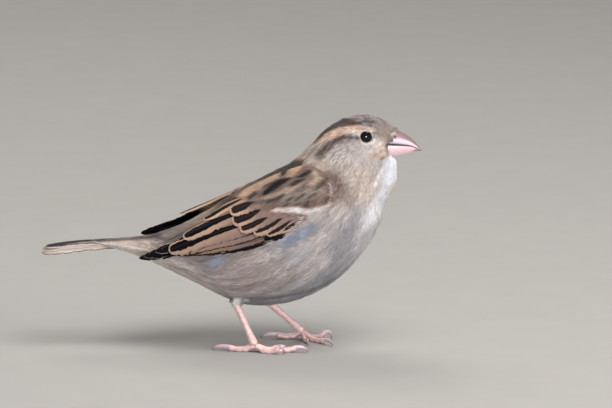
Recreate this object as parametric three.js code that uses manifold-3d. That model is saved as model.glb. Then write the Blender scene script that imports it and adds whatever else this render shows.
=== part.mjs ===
// A life-size house sparrow, adult female, standing on flat ground with the left foot forward.
// Millimetres, +Z up, +X towards the bill, +Y to the bird's left. The origin is the centre of the
// bounding box's base, so the toes rest on Z = 0.
//
// The feathered body is one loft: at each station a chord runs from the crest line (crown, back,
// rump) to the keel line (throat, breast, belly), and an egg-shaped section is drawn round it.
// Head, neck and trunk are that loft parted by thin cuts. Wings and tail are curved plates.
import * as THREE from "three";
import { ParametricGeometry } from "three/addons/geometries/ParametricGeometry.js";
import { mergeVertices } from "three/addons/utils/BufferGeometryUtils.js";
import Module from "manifold-3d";

const wasm = await Module();
wasm.setup();

// Driving dimensions

const GAP = 0.3; // between neighbouring pieces
const WELD = 1e-4; // closer vertices are one vertex
const SLIVER = 0.02; // edges shorter than this are closed up after a cut

// Outline of the plumage, to the tips of the feathers. half is the half-width, widest the share of
// the chord, from the keel up, at which it is reached, and keel sharpens the lower half above 1.
const STATIONS = {
  face: { crest: [61.0, 81.4], keel: [58.8, 72.2], half: 4.6, widest: 0.5, sharp: 1.0 },
  lore: { crest: [57.4, 84.7], keel: [60.6, 70.2], half: 7.2, widest: 0.52, sharp: 1.05 },
  brow: { crest: [50.5, 87.2], keel: [61.2, 66.0], half: 9.0, widest: 0.58, sharp: 1.2 },
  crown: { crest: [42.5, 86.4], keel: [59.2, 61.8], half: 10.0, widest: 0.54, sharp: 1.25 },
  nape: { crest: [34.6, 83.0], keel: [57.6, 57.6], half: 10.9, widest: 0.48, sharp: 1.15 },
  neck: { crest: [28.4, 76.6], keel: [57.0, 52.4], half: 13.2, widest: 0.46, sharp: 1.05 },
  shoulder: { crest: [22.0, 70.4], keel: [55.2, 45.4], half: 16.6, widest: 0.48, sharp: 1.0 },
  mantle: { crest: [12.5, 65.6], keel: [49.2, 35.6], half: 19.2, widest: 0.5, sharp: 1.0 },
  back: { crest: [1.5, 59.0], keel: [38.5, 24.4], half: 20.2, widest: 0.5, sharp: 1.0 },
  loin: { crest: [-9.0, 51.6], keel: [23.0, 16.9], half: 19.4, widest: 0.48, sharp: 1.0 },
  rump: { crest: [-18.5, 46.4], keel: [5.0, 15.9], half: 16.6, widest: 0.46, sharp: 1.0 },
  vent: { crest: [-27.5, 43.2], keel: [-13.0, 24.0], half: 12.0, widest: 0.5, sharp: 1.0 },
  coverts: { crest: [-35.5, 41.9], keel: [-29.5, 31.9], half: 8.4, widest: 0.55, sharp: 1.0 },
  tailRoot: { crest: [-43.5, 41.3], keel: [-42.0, 36.6], half: 5.8, widest: 0.6, sharp: 1.0 },
  tailCover: { crest: [-50.0, 41.0], keel: [-50.0, 38.8], half: 3.2, widest: 0.6, sharp: 1.0 },
};
const BODY_RINGS = 32;
const BODY_SIDES = 26;
const HEAD_CUT = 3.7; // station number of the cut behind the cheeks
const NECK_CUT = 5.6; // station number of the cut in front of the shoulders

const EYE = { centre: [49.8, 6.35, 80.4], radius: 2.95, slices: 16, stacks: 10 };

const BILL = {
  culmen: [[56.0, 80.8], [61.0, 81.2], [64.2, 79.5], [67.4, 77.0], [70.2, 73.9]],
  cuttingEdge: [[56.0, 76.5], [60.4, 76.4], [64.2, 75.5], [67.0, 74.7], [70.0, 73.6]],
  gonys: [[56.0, 71.6], [59.0, 71.7], [62.3, 72.0], [65.3, 72.7], [68.6, 73.6]],
  half: [3.9, 3.9, 3.0, 1.8, 0.15], // half-width along the bill
  slices: 12,
  stacks: 10,
};

// The folded wing, bowed outwards between an upper edge beside the back and a lower one along the
// flank, both from the wrist to the wing tip.
const WING = {
  upper: [[39.0, 15.2, 62.6], [29.5, 11.6, 69.2], [16.0, 9.8, 65.2], [2.0, 10.8, 58.2],
    [-10.0, 13.4, 50.0], [-22.5, 16.2, 42.2], [-34.0, 17.6, 36.9]],
  lower: [[39.0, 16.2, 61.0], [35.0, 19.2, 54.6], [24.0, 20.8, 49.6], [9.0, 21.2, 43.4],
    [-9.0, 20.4, 39.6], [-22.0, 19.0, 37.4], [-34.0, 17.6, 36.3]],
  bulge: [0.6, 4.0, 4.8, 4.4, 3.2, 1.4, 0.2],
  thick: [1.6, 2.4, 2.2, 1.9, 1.6, 1.3, 0.9],
  lift: { right: 0, left: 1.5 }, // how much higher the tip is carried
  cuts: { coverts: 0, secondaries: 0.5, primaries: 0.8 }, // where each piece begins
  reach: 12, // how far outwards the room for the wing is cleared from the trunk
  margin: 0.012, // how much longer and wider that room is, as a share of the wing
};

const TAIL = {
  root: [-37.5, 39.3],
  bend: [-55.0, 39.5],
  tip: [-70.2, 36.3],
  halfRoot: 4.0,
  halfTip: 6.6,
  droop: 1.1, // how far the outer feathers lie below the middle pair
  notch: 2.6, // depth of the fork in the tail's end
  thick: 1.3,
  feathers: 6, // tips along each half of the end, as scallops
};

// yaw turns a toe from straight ahead to the left, lift is how high its last joint is arched and
// claw how far its claw reaches beyond that joint.
const LEGS = {
  right: {
    side: -1, knee: [10.5, 8.4, 27.5], heel: [1.4, 10.0, 18.6], foot: [8.7, 12.0, 2.6],
    toes: {
      hallux: { yaw: 167, length: 10.4, lift: 0.7, claw: 5.8 },
      inner: { yaw: 24, length: 9.2, lift: 0.7, claw: 3.6 },
      middle: { yaw: -3, length: 15.6, lift: 1.2, claw: 3.6 },
      outer: { yaw: -25, length: 10.2, lift: 2.1, claw: 1.5 },
    },
  },
  left: {
    side: 1, knee: [20.5, 8.2, 24.5], heel: [12.6, 9.5, 15.4], foot: [26.3, 12.0, 2.8],
    toes: {
      hallux: { yaw: 180, length: 9.8, lift: 0.8, claw: 5.6 },
      inner: { yaw: -80, length: 9.2, lift: 0.7, claw: 3.6 },
      middle: { yaw: -51, length: 13.6, lift: 0.9, claw: 4.0 },
      outer: { yaw: -3, length: 8.6, lift: 2.1, claw: 2.0 },
    },
  },
};
const THIGH = { top: 6.4, cuff: 1.9 };
const TARSUS = { radius: 1.14, heel: 1.5, ball: 1.75 };
const TOE_RADIUS = { hallux: 1.1, inner: 0.9, middle: 1.02, outer: 0.92 };
const PALM = 4.9; // distance from the ball of the foot at which a toe is parted from it
const PAD_FLAT = 0.16; // how much of a pad is pressed flat on the ground

// Colours of the outer plumage and the bare parts

const finish = (colour, roughness) =>
  new THREE.MeshStandardMaterial({ color: colour, roughness, metalness: 0 });
const FINISH = {
  head: finish(0x9a8672, 0.9),
  breast: finish(0xb3a698, 0.9),
  wing: finish(0x9c6f4a, 0.8),
  tail: finish(0x8d7a68, 0.8),
  bill: finish(0xd9a9a0, 0.4),
  eye: finish(0x120c0a, 0.08),
  leg: finish(0xcf9486, 0.55),
  claw: finish(0x6a5148, 0.4),
};

// Solids

// A closed manifold-3d solid of a three.js geometry, facing outwards.
function toSolid(geometry) {
  geometry.deleteAttribute("normal");
  geometry.deleteAttribute("uv");
  const merged = mergeVertices(geometry, WELD);
  const corners = merged.index.array;
  const faces = [];
  for (let i = 0; i < corners.length; i += 3) {
    const [a, b, c] = corners.subarray(i, i + 3);
    if (a !== b && b !== c && c !== a) faces.push(a, b, c);
  }
  const build = (triangles) =>
    new wasm.Manifold(
      new wasm.Mesh({
        numProp: 3,
        vertProperties: Float32Array.from(merged.attributes.position.array),
        triVerts: Uint32Array.from(triangles),
      }),
    );
  const made = build(faces);
  return made.volume() > 0 ? made : build(faces.reverse());
}

function toMesh(name, solid, material) {
  const { vertProperties, triVerts, numProp, numVert } = solid.simplify(SLIVER).getMesh();
  const points = new Float32Array(numVert * 3);
  for (let i = 0; i < numVert; i++) {
    points.set(vertProperties.subarray(i * numProp, i * numProp + 3), i * 3);
  }
  const geometry = new THREE.BufferGeometry();
  geometry.setAttribute("position", new THREE.BufferAttribute(points, 3));
  geometry.setIndex(new THREE.BufferAttribute(triVerts, 1));
  geometry.computeVertexNormals();
  const mesh = new THREE.Mesh(geometry, material);
  mesh.name = name;
  return mesh;
}

// Curves and shapes

const flatCurve = (points) =>
  new THREE.CatmullRomCurve3(points.map(([x, z]) => new THREE.Vector3(x, 0, z)), false, "catmullrom");
const spaceCurve = (points) =>
  new THREE.CatmullRomCurve3(points.map((p) => new THREE.Vector3(...p)), false, "catmullrom");
const valueCurve = (values) => spaceCurve(values.map((value) => [value, 0, 0]));
const valueAt = (curve, t) => curve.getPoint(t).x;

// A curve's point, carried straight on past either end.
function pointOn(curve, t) {
  const inside = THREE.MathUtils.clamp(t, 0, 1);
  const point = curve.getPoint(inside);
  if (t !== inside) point.addScaledVector(curve.getTangent(inside), (t - inside) * curve.getLength());
  return point;
}

// 1 along the middle of a piece and 0 at its two ends, with a blunt rim.
const rim = (t, blunt) => Math.sqrt(Math.max(0, 1 - Math.abs(2 * t - 1) ** blunt));
// Steps that crowd towards both ends, so that a rim is round.
const crowded = (t) => (1 - Math.cos(Math.PI * t)) / 2;

// An egg-shaped section round the chord from low to high.
function egg(low, high, half, widest, sharp, angle, target) {
  const up = Math.sin(angle);
  const out = Math.cos(angle);
  const reach = up > 0 ? 1 - widest : widest;
  const point = up < 0 ? sharp : 1;
  target.lerpVectors(low, high, widest + reach * up);
  target.y += half * Math.sign(out) * Math.abs(out) ** point;
  return target;
}

// A tube of the given radii along a curve, rounded at both ends.
function limb(curve, radii, sides, rings, reference = new THREE.Vector3(0, 1, 0)) {
  const radius = valueCurve(radii);
  return toSolid(new ParametricGeometry((u, v, target) => {
    const t = crowded(v);
    const along = curve.getTangent(t);
    const across = new THREE.Vector3().crossVectors(along, reference).normalize();
    const upward = new THREE.Vector3().crossVectors(across, along);
    const angle = 2 * Math.PI * u;
    const size = valueAt(radius, t) * rim(t, 14);
    target.copy(curve.getPoint(t));
    target.addScaledVector(across, size * Math.cos(angle)).addScaledVector(upward, size * Math.sin(angle));
  }, sides, rings));
}

// A plate over surface(s, t), as thick outwards and inwards as thickness(s, t) says.
function plate(surface, thickness, columns, rows) {
  const STEP = 1e-3;
  return toSolid(new ParametricGeometry((u, v, target) => {
    const outer = u < 0.5;
    const t = crowded(outer ? 2 * u : 2 - 2 * u);
    const s = crowded(v);
    const alongS = surface(s + STEP, t).sub(surface(s - STEP, t));
    const alongT = surface(s, t + STEP).sub(surface(s, t - STEP));
    const normal = alongS.cross(alongT).normalize();
    const [outwards, inwards] = thickness(s, t);
    const size = rim(s, 12) * rim(t, 12) * (outer ? outwards : -inwards);
    target.copy(surface(s, t)).addScaledVector(normal, size);
  }, 2 * columns, rows));
}

// The body

const SIDES = { right: -1, left: 1 };
const stations = Object.values(STATIONS);
const crestLine = flatCurve(stations.map((s) => s.crest));
const keelLine = flatCurve(stations.map((s) => s.keel));
const girth = spaceCurve(stations.map((s) => [s.half, s.widest, s.sharp]));

function bodyLoft() {
  return toSolid(new ParametricGeometry((u, v, target) => {
    // The first and last steps close the loft with a flat cap.
    const t = THREE.MathUtils.clamp((v * (BODY_RINGS + 2) - 1) / BODY_RINGS, 0, 1);
    const low = keelLine.getPoint(t);
    const high = crestLine.getPoint(t);
    const { x: half, y: widest, z: sharp } = girth.getPoint(t);
    if (v === 0 || v === 1) target.lerpVectors(low, high, widest);
    else egg(low, high, half, widest, sharp, 2 * Math.PI * u, target);
  }, BODY_SIDES, BODY_RINGS + 2));
}

// Parts a solid by the plane of a station's chord: [the part in front, the part behind].
function partAt(solid, station) {
  const t = station / (stations.length - 1);
  const low = keelLine.getPoint(t);
  const chord = crestLine.getPoint(t).sub(low);
  const forward = new THREE.Vector3(chord.z, 0, -chord.x).normalize();
  const offset = forward.dot(low);
  return [
    solid.trimByPlane(forward.toArray(), offset + GAP / 2),
    solid.trimByPlane(forward.clone().negate().toArray(), -offset + GAP / 2),
  ];
}

// The head's own pieces

function eye(word, grown = 0) {
  const ball = new THREE.SphereGeometry(EYE.radius + grown, EYE.slices, EYE.stacks);
  const [x, y, z] = EYE.centre;
  return toSolid(ball.translate(x, SIDES[word] * y, z));
}

// Half of the bill between two outlines, the widest at the share of its height that widest gives.
function mandible(lowLine, highLine, widest, grown = 0) {
  const low = flatCurve(lowLine);
  const high = flatCurve(highLine);
  const half = valueCurve(BILL.half);
  const lift = new THREE.Vector3(0, 0, 1.5 * grown);
  return toSolid(new ParametricGeometry((u, v, target) => {
    const t = THREE.MathUtils.clamp((v * (BILL.stacks + 2) - 1) / BILL.stacks, 0, 1);
    const bottom = low.getPoint(t).sub(lift);
    const top = high.getPoint(t).add(lift);
    if (v === 0 || v === 1) target.lerpVectors(bottom, top, widest);
    else egg(bottom, top, valueAt(half, t) + grown, widest, 0.8, 2 * Math.PI * u, target);
  }, BILL.slices, BILL.stacks + 2));
}

const lowered = (line, by) => line.map(([x, z]) => [x, z - by]);
// Grown, the two make one room, since each reaches past the middle of the gap between them.
const upperBill = (grown) => mandible(BILL.cuttingEdge, BILL.culmen, 0.16, grown);
const lowerBill = (grown) => mandible(BILL.gonys, lowered(BILL.cuttingEdge, GAP), 0.8, grown);

// Wings and tail

const WING_LINES = {
  upper: spaceCurve(WING.upper),
  lower: spaceCurve(WING.lower),
  bulge: valueCurve(WING.bulge),
  thick: valueCurve(WING.thick),
};

// The folded wing's surface: a bowed line from the upper edge (t = 0) to the lower one (t = 1).
function wingSurface(word) {
  const [side, lift] = [SIDES[word], WING.lift[word]];
  return (s, t) => {
    const high = pointOn(WING_LINES.upper, s);
    const low = pointOn(WING_LINES.lower, s);
    const outwards = new THREE.Vector3(0, high.z - low.z, low.y - high.y);
    if (outwards.lengthSq() > 0) outwards.normalize();
    const bow = 4 * t * (1 - t) * pointOn(WING_LINES.bulge, s).x;
    const point = high.lerp(low, t).addScaledVector(outwards, bow);
    point.y *= side;
    point.z += lift * s ** 2;
    return point;
  };
}

function wholeWing(word) {
  return plate(wingSurface(word), (s) => {
    const half = valueAt(WING_LINES.thick, s) / 2;
    return [half, half];
  }, 7, 20);
}

// The wing's pieces, parted across its length where the next one begins.
function wingPieces(word) {
  const pieces = new Map();
  let rest = wholeWing(word);
  for (const [name, start] of Object.entries(WING.cuts).reverse()) {
    if (start > 0) {
      const high = pointOn(WING_LINES.upper, start);
      const run = pointOn(WING_LINES.lower, start).sub(high);
      const back = new THREE.Vector3(run.z, 0, -run.x).normalize();
      high.z += WING.lift[word] * start ** 2;
      const offset = back.dot(high);
      pieces.set(name, rest.trimByPlane(back.toArray(), offset + GAP / 2));
      rest = rest.trimByPlane(back.clone().negate().toArray(), -offset + GAP / 2);
    } else pieces.set(name, rest);
  }
  return pieces;
}

// The room that a wing takes out of the trunk: the wing grown by the gap and carried outwards.
function wingRoom(word) {
  const surface = wingSurface(word);
  const wider = (value) => -WING.margin + value * (1 + 2 * WING.margin);
  const outer = SIDES[word] > 0;
  return plate((s, t) => surface(wider(s), wider(t)), (s) => {
    const inwards = valueAt(WING_LINES.thick, s) / 2 + GAP;
    return outer ? [inwards, WING.reach] : [WING.reach, inwards];
  }, 7, 20);
}

// The closed tail: a plate that droops to each side and ends in a shallow fork of feather tips.
function tail(grown = 0) {
  const line = new THREE.QuadraticBezierCurve3(
    ...[TAIL.root, TAIL.bend, TAIL.tip].map(([x, z]) => new THREE.Vector3(x, 0, z)),
  );
  const surface = (share, t) => {
    const s = share - (grown / line.getLength()) * (1 - share) * 2;
    const across = 2 * t - 1;
    const fork = TAIL.notch * Math.max(0, 1 - Math.abs(across));
    const scallop = 0.7 * Math.abs(Math.sin(Math.PI * TAIL.feathers * across));
    const point = pointOn(line, s);
    point.x += s * s * (fork - scallop + 0.7);
    point.y = across * (THREE.MathUtils.lerp(TAIL.halfRoot, TAIL.halfTip, s) + grown);
    point.z -= TAIL.droop * across * across;
    return point;
  };
  return plate(surface, () => [TAIL.thick / 2 + grown, TAIL.thick / 2 + grown], 12, 10);
}

// Legs

function mirrored([x, y, z], side) {
  return [x, side * y, z];
}

function thigh(leg, grown = 0) {
  const knee = mirrored(leg.knee, leg.side);
  const heel = mirrored(leg.heel, leg.side);
  const middle = knee.map((value, i) => (value + heel[i]) / 2);
  const end = heel.map((value, i) => value + (heel[i] - middle[i]) * 0.12);
  const radii = [THIGH.top, THIGH.top * 0.72, THIGH.cuff].map((radius) => radius + grown);
  return limb(spaceCurve([knee, middle, end]), radii, 12, 7);
}

// The bare shin, or the room for it when it is grown.
function tarsus(leg, grown = 0) {
  const heel = new THREE.Vector3(...mirrored(leg.heel, leg.side));
  const foot = new THREE.Vector3(...mirrored(leg.foot, leg.side));
  heel.addScaledVector(heel.clone().sub(foot).normalize(), 1.5 * grown);
  const { radius, heel: joint, ball } = TARSUS;
  const radii = [joint, radius, radius, ball].map((value) => value + grown);
  return limb(new THREE.LineCurve3(heel, foot), radii, 10, 7);
}

// Centre line of a toe from the ball of the foot: down to its pads, up over its last joint.
function toeLine(leg, name) {
  const { yaw, length, lift } = leg.toes[name];
  const turn = THREE.MathUtils.degToRad(yaw);
  const [x, y, z] = mirrored(leg.foot, leg.side);
  const rest = TOE_RADIUS[name] - PAD_FLAT;
  const heights = [z, rest + 0.3, rest, rest + 0.15 * lift, rest + lift];
  return [0, 0.3, 0.52, 0.78, 1].map((reach, i) => [
    x + Math.cos(turn) * length * reach,
    y + Math.sin(turn) * length * reach,
    heights[i],
  ]);
}

function toe(leg, name) {
  const radii = [1.2, 1.0, 1.08, 0.92, 1.0, 0.82].map((share) => share * TOE_RADIUS[name]);
  const whole = limb(spaceCurve(toeLine(leg, name)), radii, 8, 11, new THREE.Vector3(0, 0, 1));
  return whole.trimByPlane([0, 0, 1], 0);
}

// A curved claw from just beyond the end of its toe down to the ground.
function claw(leg, name) {
  const { yaw, claw: reach } = leg.toes[name];
  const turn = THREE.MathUtils.degToRad(yaw);
  const [x, y, z] = toeLine(leg, name).at(-1);
  const at = (out, height) => [x + Math.cos(turn) * out, y + Math.sin(turn) * out, height];
  const points = [at(GAP, z), at(GAP + reach * 0.45, z), at(GAP + reach * 0.85, z * 0.6),
    at(GAP + reach, 0.1)];
  const radii = [0.68, 0.6, 0.42, 0.14].map((share) => share * TOE_RADIUS[name]);
  return limb(spaceCurve(points), radii, 6, 6, new THREE.Vector3(0, 0, 1))
    .trimByPlane([0, 0, 1], 0);
}

function ballOf(leg, radius) {
  return toSolid(new THREE.SphereGeometry(radius, 12, 8)
    .translate(...mirrored(leg.foot, leg.side)));
}

// Assembly

function build() {
  const pieces = new Map();
  const add = (name, solid, material) => pieces.set(name, toMesh(name, solid, material));

  let plumage = bodyLoft();
  for (const word of Object.keys(SIDES)) {
    plumage = plumage.subtract(wingRoom(word)).subtract(eye(word, GAP));
  }
  for (const leg of Object.values(LEGS)) {
    plumage = plumage.subtract(thigh(leg, GAP)).subtract(tarsus(leg, GAP));
  }
  plumage = plumage.subtract(tail(GAP)).subtract(upperBill(GAP)).subtract(lowerBill(GAP));
  const [head, belowHead] = partAt(plumage, HEAD_CUT);
  const [neck, trunk] = partAt(belowHead, NECK_CUT);
  add("head", head, FINISH.head);
  add("neck", neck, FINISH.head);
  add("trunk", trunk, FINISH.breast);
  add("tail", tail(), FINISH.tail);
  add("bill_upper", upperBill(0), FINISH.bill);
  add("bill_lower", lowerBill(0), FINISH.bill);

  for (const word of Object.keys(SIDES)) {
    add(`eye_${word}`, eye(word), FINISH.eye);
    for (const [name, solid] of wingPieces(word)) add(`wing_${word}_${name}`, solid, FINISH.wing);
  }

  for (const [word, leg] of Object.entries(LEGS)) {
    const shin = tarsus(leg);
    let foot = shin;
    for (const name of Object.keys(TOE_RADIUS)) {
      const whole = toe(leg, name);
      foot = foot.add(whole.intersect(ballOf(leg, PALM - GAP / 2)));
      add(`toe_${word}_${name}`, whole.subtract(ballOf(leg, PALM + GAP / 2)), FINISH.leg);
      add(`claw_${word}_${name}`, claw(leg, name).subtract(toe(leg, name)), FINISH.claw);
    }
    add(`tarsus_${word}`, foot.trimByPlane([0, 0, 1], 0), FINISH.leg);
    add(`thigh_${word}`, thigh(leg).subtract(tarsus(leg, GAP)), FINISH.breast);
  }
  return pieces;
}

const sparrow = new THREE.Group();
sparrow.name = "house_sparrow";
for (const mesh of build().values()) sparrow.add(mesh);

// The group is moved so that its origin is the centre of its own base.
const box = new THREE.Box3().setFromObject(sparrow, true);
const centre = box.getCenter(new THREE.Vector3());
sparrow.position.set(-centre.x, -centre.y, -box.min.z);

export default sparrow;
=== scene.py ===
"""Looks of a life-size female house sparrow: skin, coat of small feathers, wings, tail, bill, eyes, feet.

Lengths are millimetres in the bird's own frame until a mesh is written: x runs from tail to bill, y to
the bird's left, z up from the ground, with x = 0 midway between the tips of bill and tail. Every surface
is a Form, a function of two parameters, and everything that grows on it is laid out in those parameters.
"""

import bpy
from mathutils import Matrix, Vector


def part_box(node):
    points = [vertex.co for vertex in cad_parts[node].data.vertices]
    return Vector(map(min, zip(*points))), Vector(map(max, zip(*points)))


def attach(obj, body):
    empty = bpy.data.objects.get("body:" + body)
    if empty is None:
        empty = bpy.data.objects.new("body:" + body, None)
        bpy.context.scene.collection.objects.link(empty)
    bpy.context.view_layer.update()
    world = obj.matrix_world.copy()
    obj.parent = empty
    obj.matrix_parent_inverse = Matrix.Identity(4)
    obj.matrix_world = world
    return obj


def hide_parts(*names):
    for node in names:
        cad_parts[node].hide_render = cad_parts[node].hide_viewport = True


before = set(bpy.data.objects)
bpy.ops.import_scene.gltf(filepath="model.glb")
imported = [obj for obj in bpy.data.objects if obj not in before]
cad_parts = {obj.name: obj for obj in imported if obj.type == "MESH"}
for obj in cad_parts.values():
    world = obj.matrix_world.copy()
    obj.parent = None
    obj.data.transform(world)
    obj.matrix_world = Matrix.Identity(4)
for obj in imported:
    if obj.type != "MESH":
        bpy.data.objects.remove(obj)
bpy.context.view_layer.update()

import logging
import math
from dataclasses import dataclass, field, replace
from enum import Enum
from typing import Any, Callable, Sequence

import bpy
import numpy as np

Array = np.ndarray
Pair = tuple[float, float]
Triple = tuple[float, float, float]
Numbers = tuple[float, ...]
Colour = Triple
LOG = logging.getLogger("sparrow")
METRES = 0.001
STEP = 1e-3  # how far p or q moves to find a slope


class Side(Enum):
    """The bird's right, which faces the camera, and its left."""

    RIGHT = -1
    LEFT = 1

    @property
    def word(self) -> str:
        """The side's name in a piece name."""
        return self.name.lower()


# Arrays


def unit(vectors: Array) -> Array:
    """Vectors scaled to length one along the last axis."""
    return vectors / np.maximum(np.linalg.norm(vectors, axis=-1, keepdims=True), 1e-9)


def mix(low: Any, high: Any, share: Any) -> Array:
    """low where share is 0, high where it is 1, and in between in proportion."""
    return low + (high - low) * share


def ramp(values: Any, low: float, high: float) -> Array:
    """0 at low and before it, 1 at high and past it, with a smooth S between: t squared times (3 - 2 t)."""
    share = np.clip((np.asarray(values, float) - low) / (high - low), 0, 1)
    return share * share * (3 - 2 * share)


def spline(knots: Any, at: Any) -> Array:
    """A smooth curve through evenly spaced knots, carried straight on past its ends.

    Between two knots it is the Catmull-Rom cubic of the four nearest ones.

    Args:
        knots: Rows of coordinates, or a row of plain numbers.
        at: Where to read it: 0 is the first knot and 1 the last.

    Returns:
        One row, or one number, for each entry of at.
    """
    rows = np.asarray(knots, float)
    flat = rows.ndim == 1
    rows = rows[:, None] if flat else rows
    spans = len(rows) - 1
    ends = np.concatenate([[2 * rows[0] - rows[1]], rows, [2 * rows[-1] - rows[-2]]])
    place = np.asarray(at, float) * spans
    inside = np.clip(place, 0, spans)
    first = np.minimum(inside.astype(int), spans - 1)
    f = (inside - first)[..., None]
    a, b, c, d = (ends[first + i] for i in range(4))
    slope, bend, twist = (c - a) / 2, a - 2.5 * b + 2 * c - 0.5 * d, 1.5 * (b - c) + (d - a) / 2
    value = b + f * (slope + f * (bend + f * twist))
    value = value + (place - inside)[..., None] * (slope + f * (2 * bend + 3 * f * twist))
    return value[..., 0] if flat else value


def grid_quads(rows: int, columns: int, wrap: bool = False) -> Array:
    """Quads of a grid of points numbered row by row; wrap joins the last column to the first."""
    r = np.arange(rows - 1)[:, None] * columns
    c = np.arange(columns if wrap else columns - 1)[None, :]
    n = (c + 1) % columns
    return np.stack([r + c, r + n, r + columns + n, r + columns + c], -1).reshape(-1, 4)


def lattice(rows: Array, columns: Array) -> list[Array]:
    """Two grids that together hold every pair of a row's value and a column's."""
    return np.meshgrid(rows, columns, indexing="ij")


def once_round(count: int, low: float = -1.0, high: float = 1.0) -> Array:
    """Even steps from low up to, but not on, high, which is the same place again."""
    return np.linspace(low, high, count, endpoint=False)


def dyed(low: Any, high: Any, share: Array) -> Array:
    """Colours that go from low to high by each place's own share."""
    return mix(np.asarray(low), np.asarray(high), share[..., None])


@dataclass
class Shape:
    """Points with their faces and what is known at each point, ready to become a mesh."""

    points: Array
    faces: list[Array]
    values: dict[str, Array] = field(default_factory=dict)
    patch: Array | None = None
    shading: Array | None = None

    def volume(self) -> float:
        """Signed volume: each face's fan of corners against the middle of the points."""
        middle = self.points.mean(0)
        total = 0.0
        for faces in self.faces:
            corners = self.points[faces] - middle
            for i in range(1, faces.shape[1] - 1):
                turned = np.cross(corners[:, i], corners[:, i + 1])
                total += float(np.einsum("ij,ij->", corners[:, 0], turned))
        return total / 6

    def outward(self) -> "Shape":
        """The same shape with its faces turned, if need be, to point out."""
        if self.volume() < 0:
            self.faces = [faces[:, ::-1] for faces in self.faces]
        return self

    @staticmethod
    def joined(shapes: Sequence["Shape"]) -> "Shape":
        """Several shapes as one, which all know the same values."""
        starts = np.cumsum([0] + [len(shape.points) for shape in shapes])
        faces: dict[int, list[Array]] = {}
        for shape, start in zip(shapes, starts):
            for group in shape.faces:
                faces.setdefault(group.shape[1], []).append(group + start)

        def stacked(parts: list[Any]) -> Any:
            """All the parts as one array, or nothing when they are nothing."""
            return None if parts[0] is None else np.concatenate(parts)

        return Shape(
            stacked([shape.points for shape in shapes]), [stacked(groups) for groups in faces.values()],
            {name: stacked([shape.values[name] for shape in shapes]) for name in shapes[0].values},
            stacked([shape.patch for shape in shapes]), stacked([shape.shading for shape in shapes]))


def closed_rings(rings: Array) -> tuple[Array, list[Array]]:
    """A closed skin over rings of points, with each end drawn together in a point at its middle.

    Args:
        rings: Points as [ring, place in the ring, xyz].

    Returns:
        The points, row by row and then the two end points, and their faces.
    """
    count, size = rings.shape[:2]
    points = np.concatenate([rings.reshape(-1, 3), rings[:1].mean(1), rings[-1:].mean(1)])
    place = np.arange(size)
    after = (place + 1) % size
    start = np.stack([np.full(size, count * size), after, place], -1)
    last = (count - 1) * size
    end = np.stack([np.full(size, count * size + 1), last + place, last + after], -1)
    return points, [grid_quads(count, size, wrap=True), np.concatenate([start, end])]


def placed(thing: bpy.types.Object) -> None:
    """Puts an object into the scene."""
    bpy.context.scene.collection.objects.link(thing)


def with_ends(*grids: Array) -> list[Array]:
    """Values at a closed skin's points from grids over its rings, whose first and last serve the ends."""
    return [np.append(grid.ravel(), grid.ravel()[[0, -1]]) for grid in grids]


def with_end_colours(tint: Array) -> Array:
    """Colours at a closed skin's points from those over its rings; an end has the mean of its ring."""
    return np.concatenate([tint.reshape(-1, 3), tint[:1].mean(1), tint[-1:].mean(1)])


@dataclass(frozen=True)
class Workbench:
    """Turns shapes into objects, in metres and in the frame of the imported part."""

    shift: Triple

    @staticmethod
    def from_frame() -> "Workbench":
        """The bird's frame found from its bill: the tip's x and the middle's y."""
        low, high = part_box("bill_upper")
        return Workbench((high.x / METRES - Bill.tip, (low.y + high.y) / 2 / METRES, 0))

    def make(self, name: str, shape: Shape, finish: "Finish", replaced: Sequence[str] = ()) -> None:
        """Writes a shape into the scene as one piece that rides on the body.

        Args:
            name: The piece's name.
            shape: What to write; its faces point out.
            finish: The material it wears.
            replaced: The CAD nodes that it stands for.
        """
        mesh = bpy.data.meshes.new(name)
        mesh.vertices.add(len(shape.points))
        mesh.vertices.foreach_set("co", ((shape.points + self.shift) * METRES).astype(np.float32).ravel())
        corners = np.concatenate([faces.ravel() for faces in shape.faces]).astype(np.int32)
        sizes = np.concatenate([np.full(len(faces), faces.shape[1]) for faces in shape.faces])
        mesh.loops.add(len(corners))
        mesh.loops.foreach_set("vertex_index", corners)
        mesh.polygons.add(len(sizes))
        mesh.polygons.foreach_set("loop_start", (np.cumsum(sizes) - sizes).astype(np.int32))
        mesh.polygons.foreach_set("use_smooth", np.ones(len(sizes), bool))
        mesh.update(calc_edges=True)
        for label, values in shape.values.items():
            self.attribute(mesh, label, values)
        if shape.patch is not None:
            layer = mesh.uv_layers.new(name="OFBake")
            layer.uv.foreach_set("vector", shape.patch[corners].astype(np.float32).ravel())
        if shape.shading is not None:
            mesh.normals_split_custom_set_from_vertices(unit(shape.shading).astype(np.float32))
        mesh.materials.append(finish.material())
        piece = bpy.data.objects.new(name, mesh)
        placed(piece)
        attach(piece, "root")
        if replaced:
            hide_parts(*replaced)
        LOG.info("%s: %d points, %d faces", name, len(shape.points), len(sizes))

    @staticmethod
    def attribute(mesh: bpy.types.Mesh, label: str, values: Array) -> None:
        """Stores a number, a vector or, under a name that ends in tint, a colour at each point."""
        kind, key = ("FLOAT", "value") if values.ndim == 1 else ("FLOAT_VECTOR", "vector")
        if label.endswith("tint"):
            kind, key = "FLOAT_COLOR", "color"
            values = np.concatenate([values, np.ones((len(values), 1))], -1)
        layer = mesh.attributes.new(label, kind, "POINT")
        layer.data.foreach_set(key, values.astype(np.float32).ravel())


# Surfaces


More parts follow.
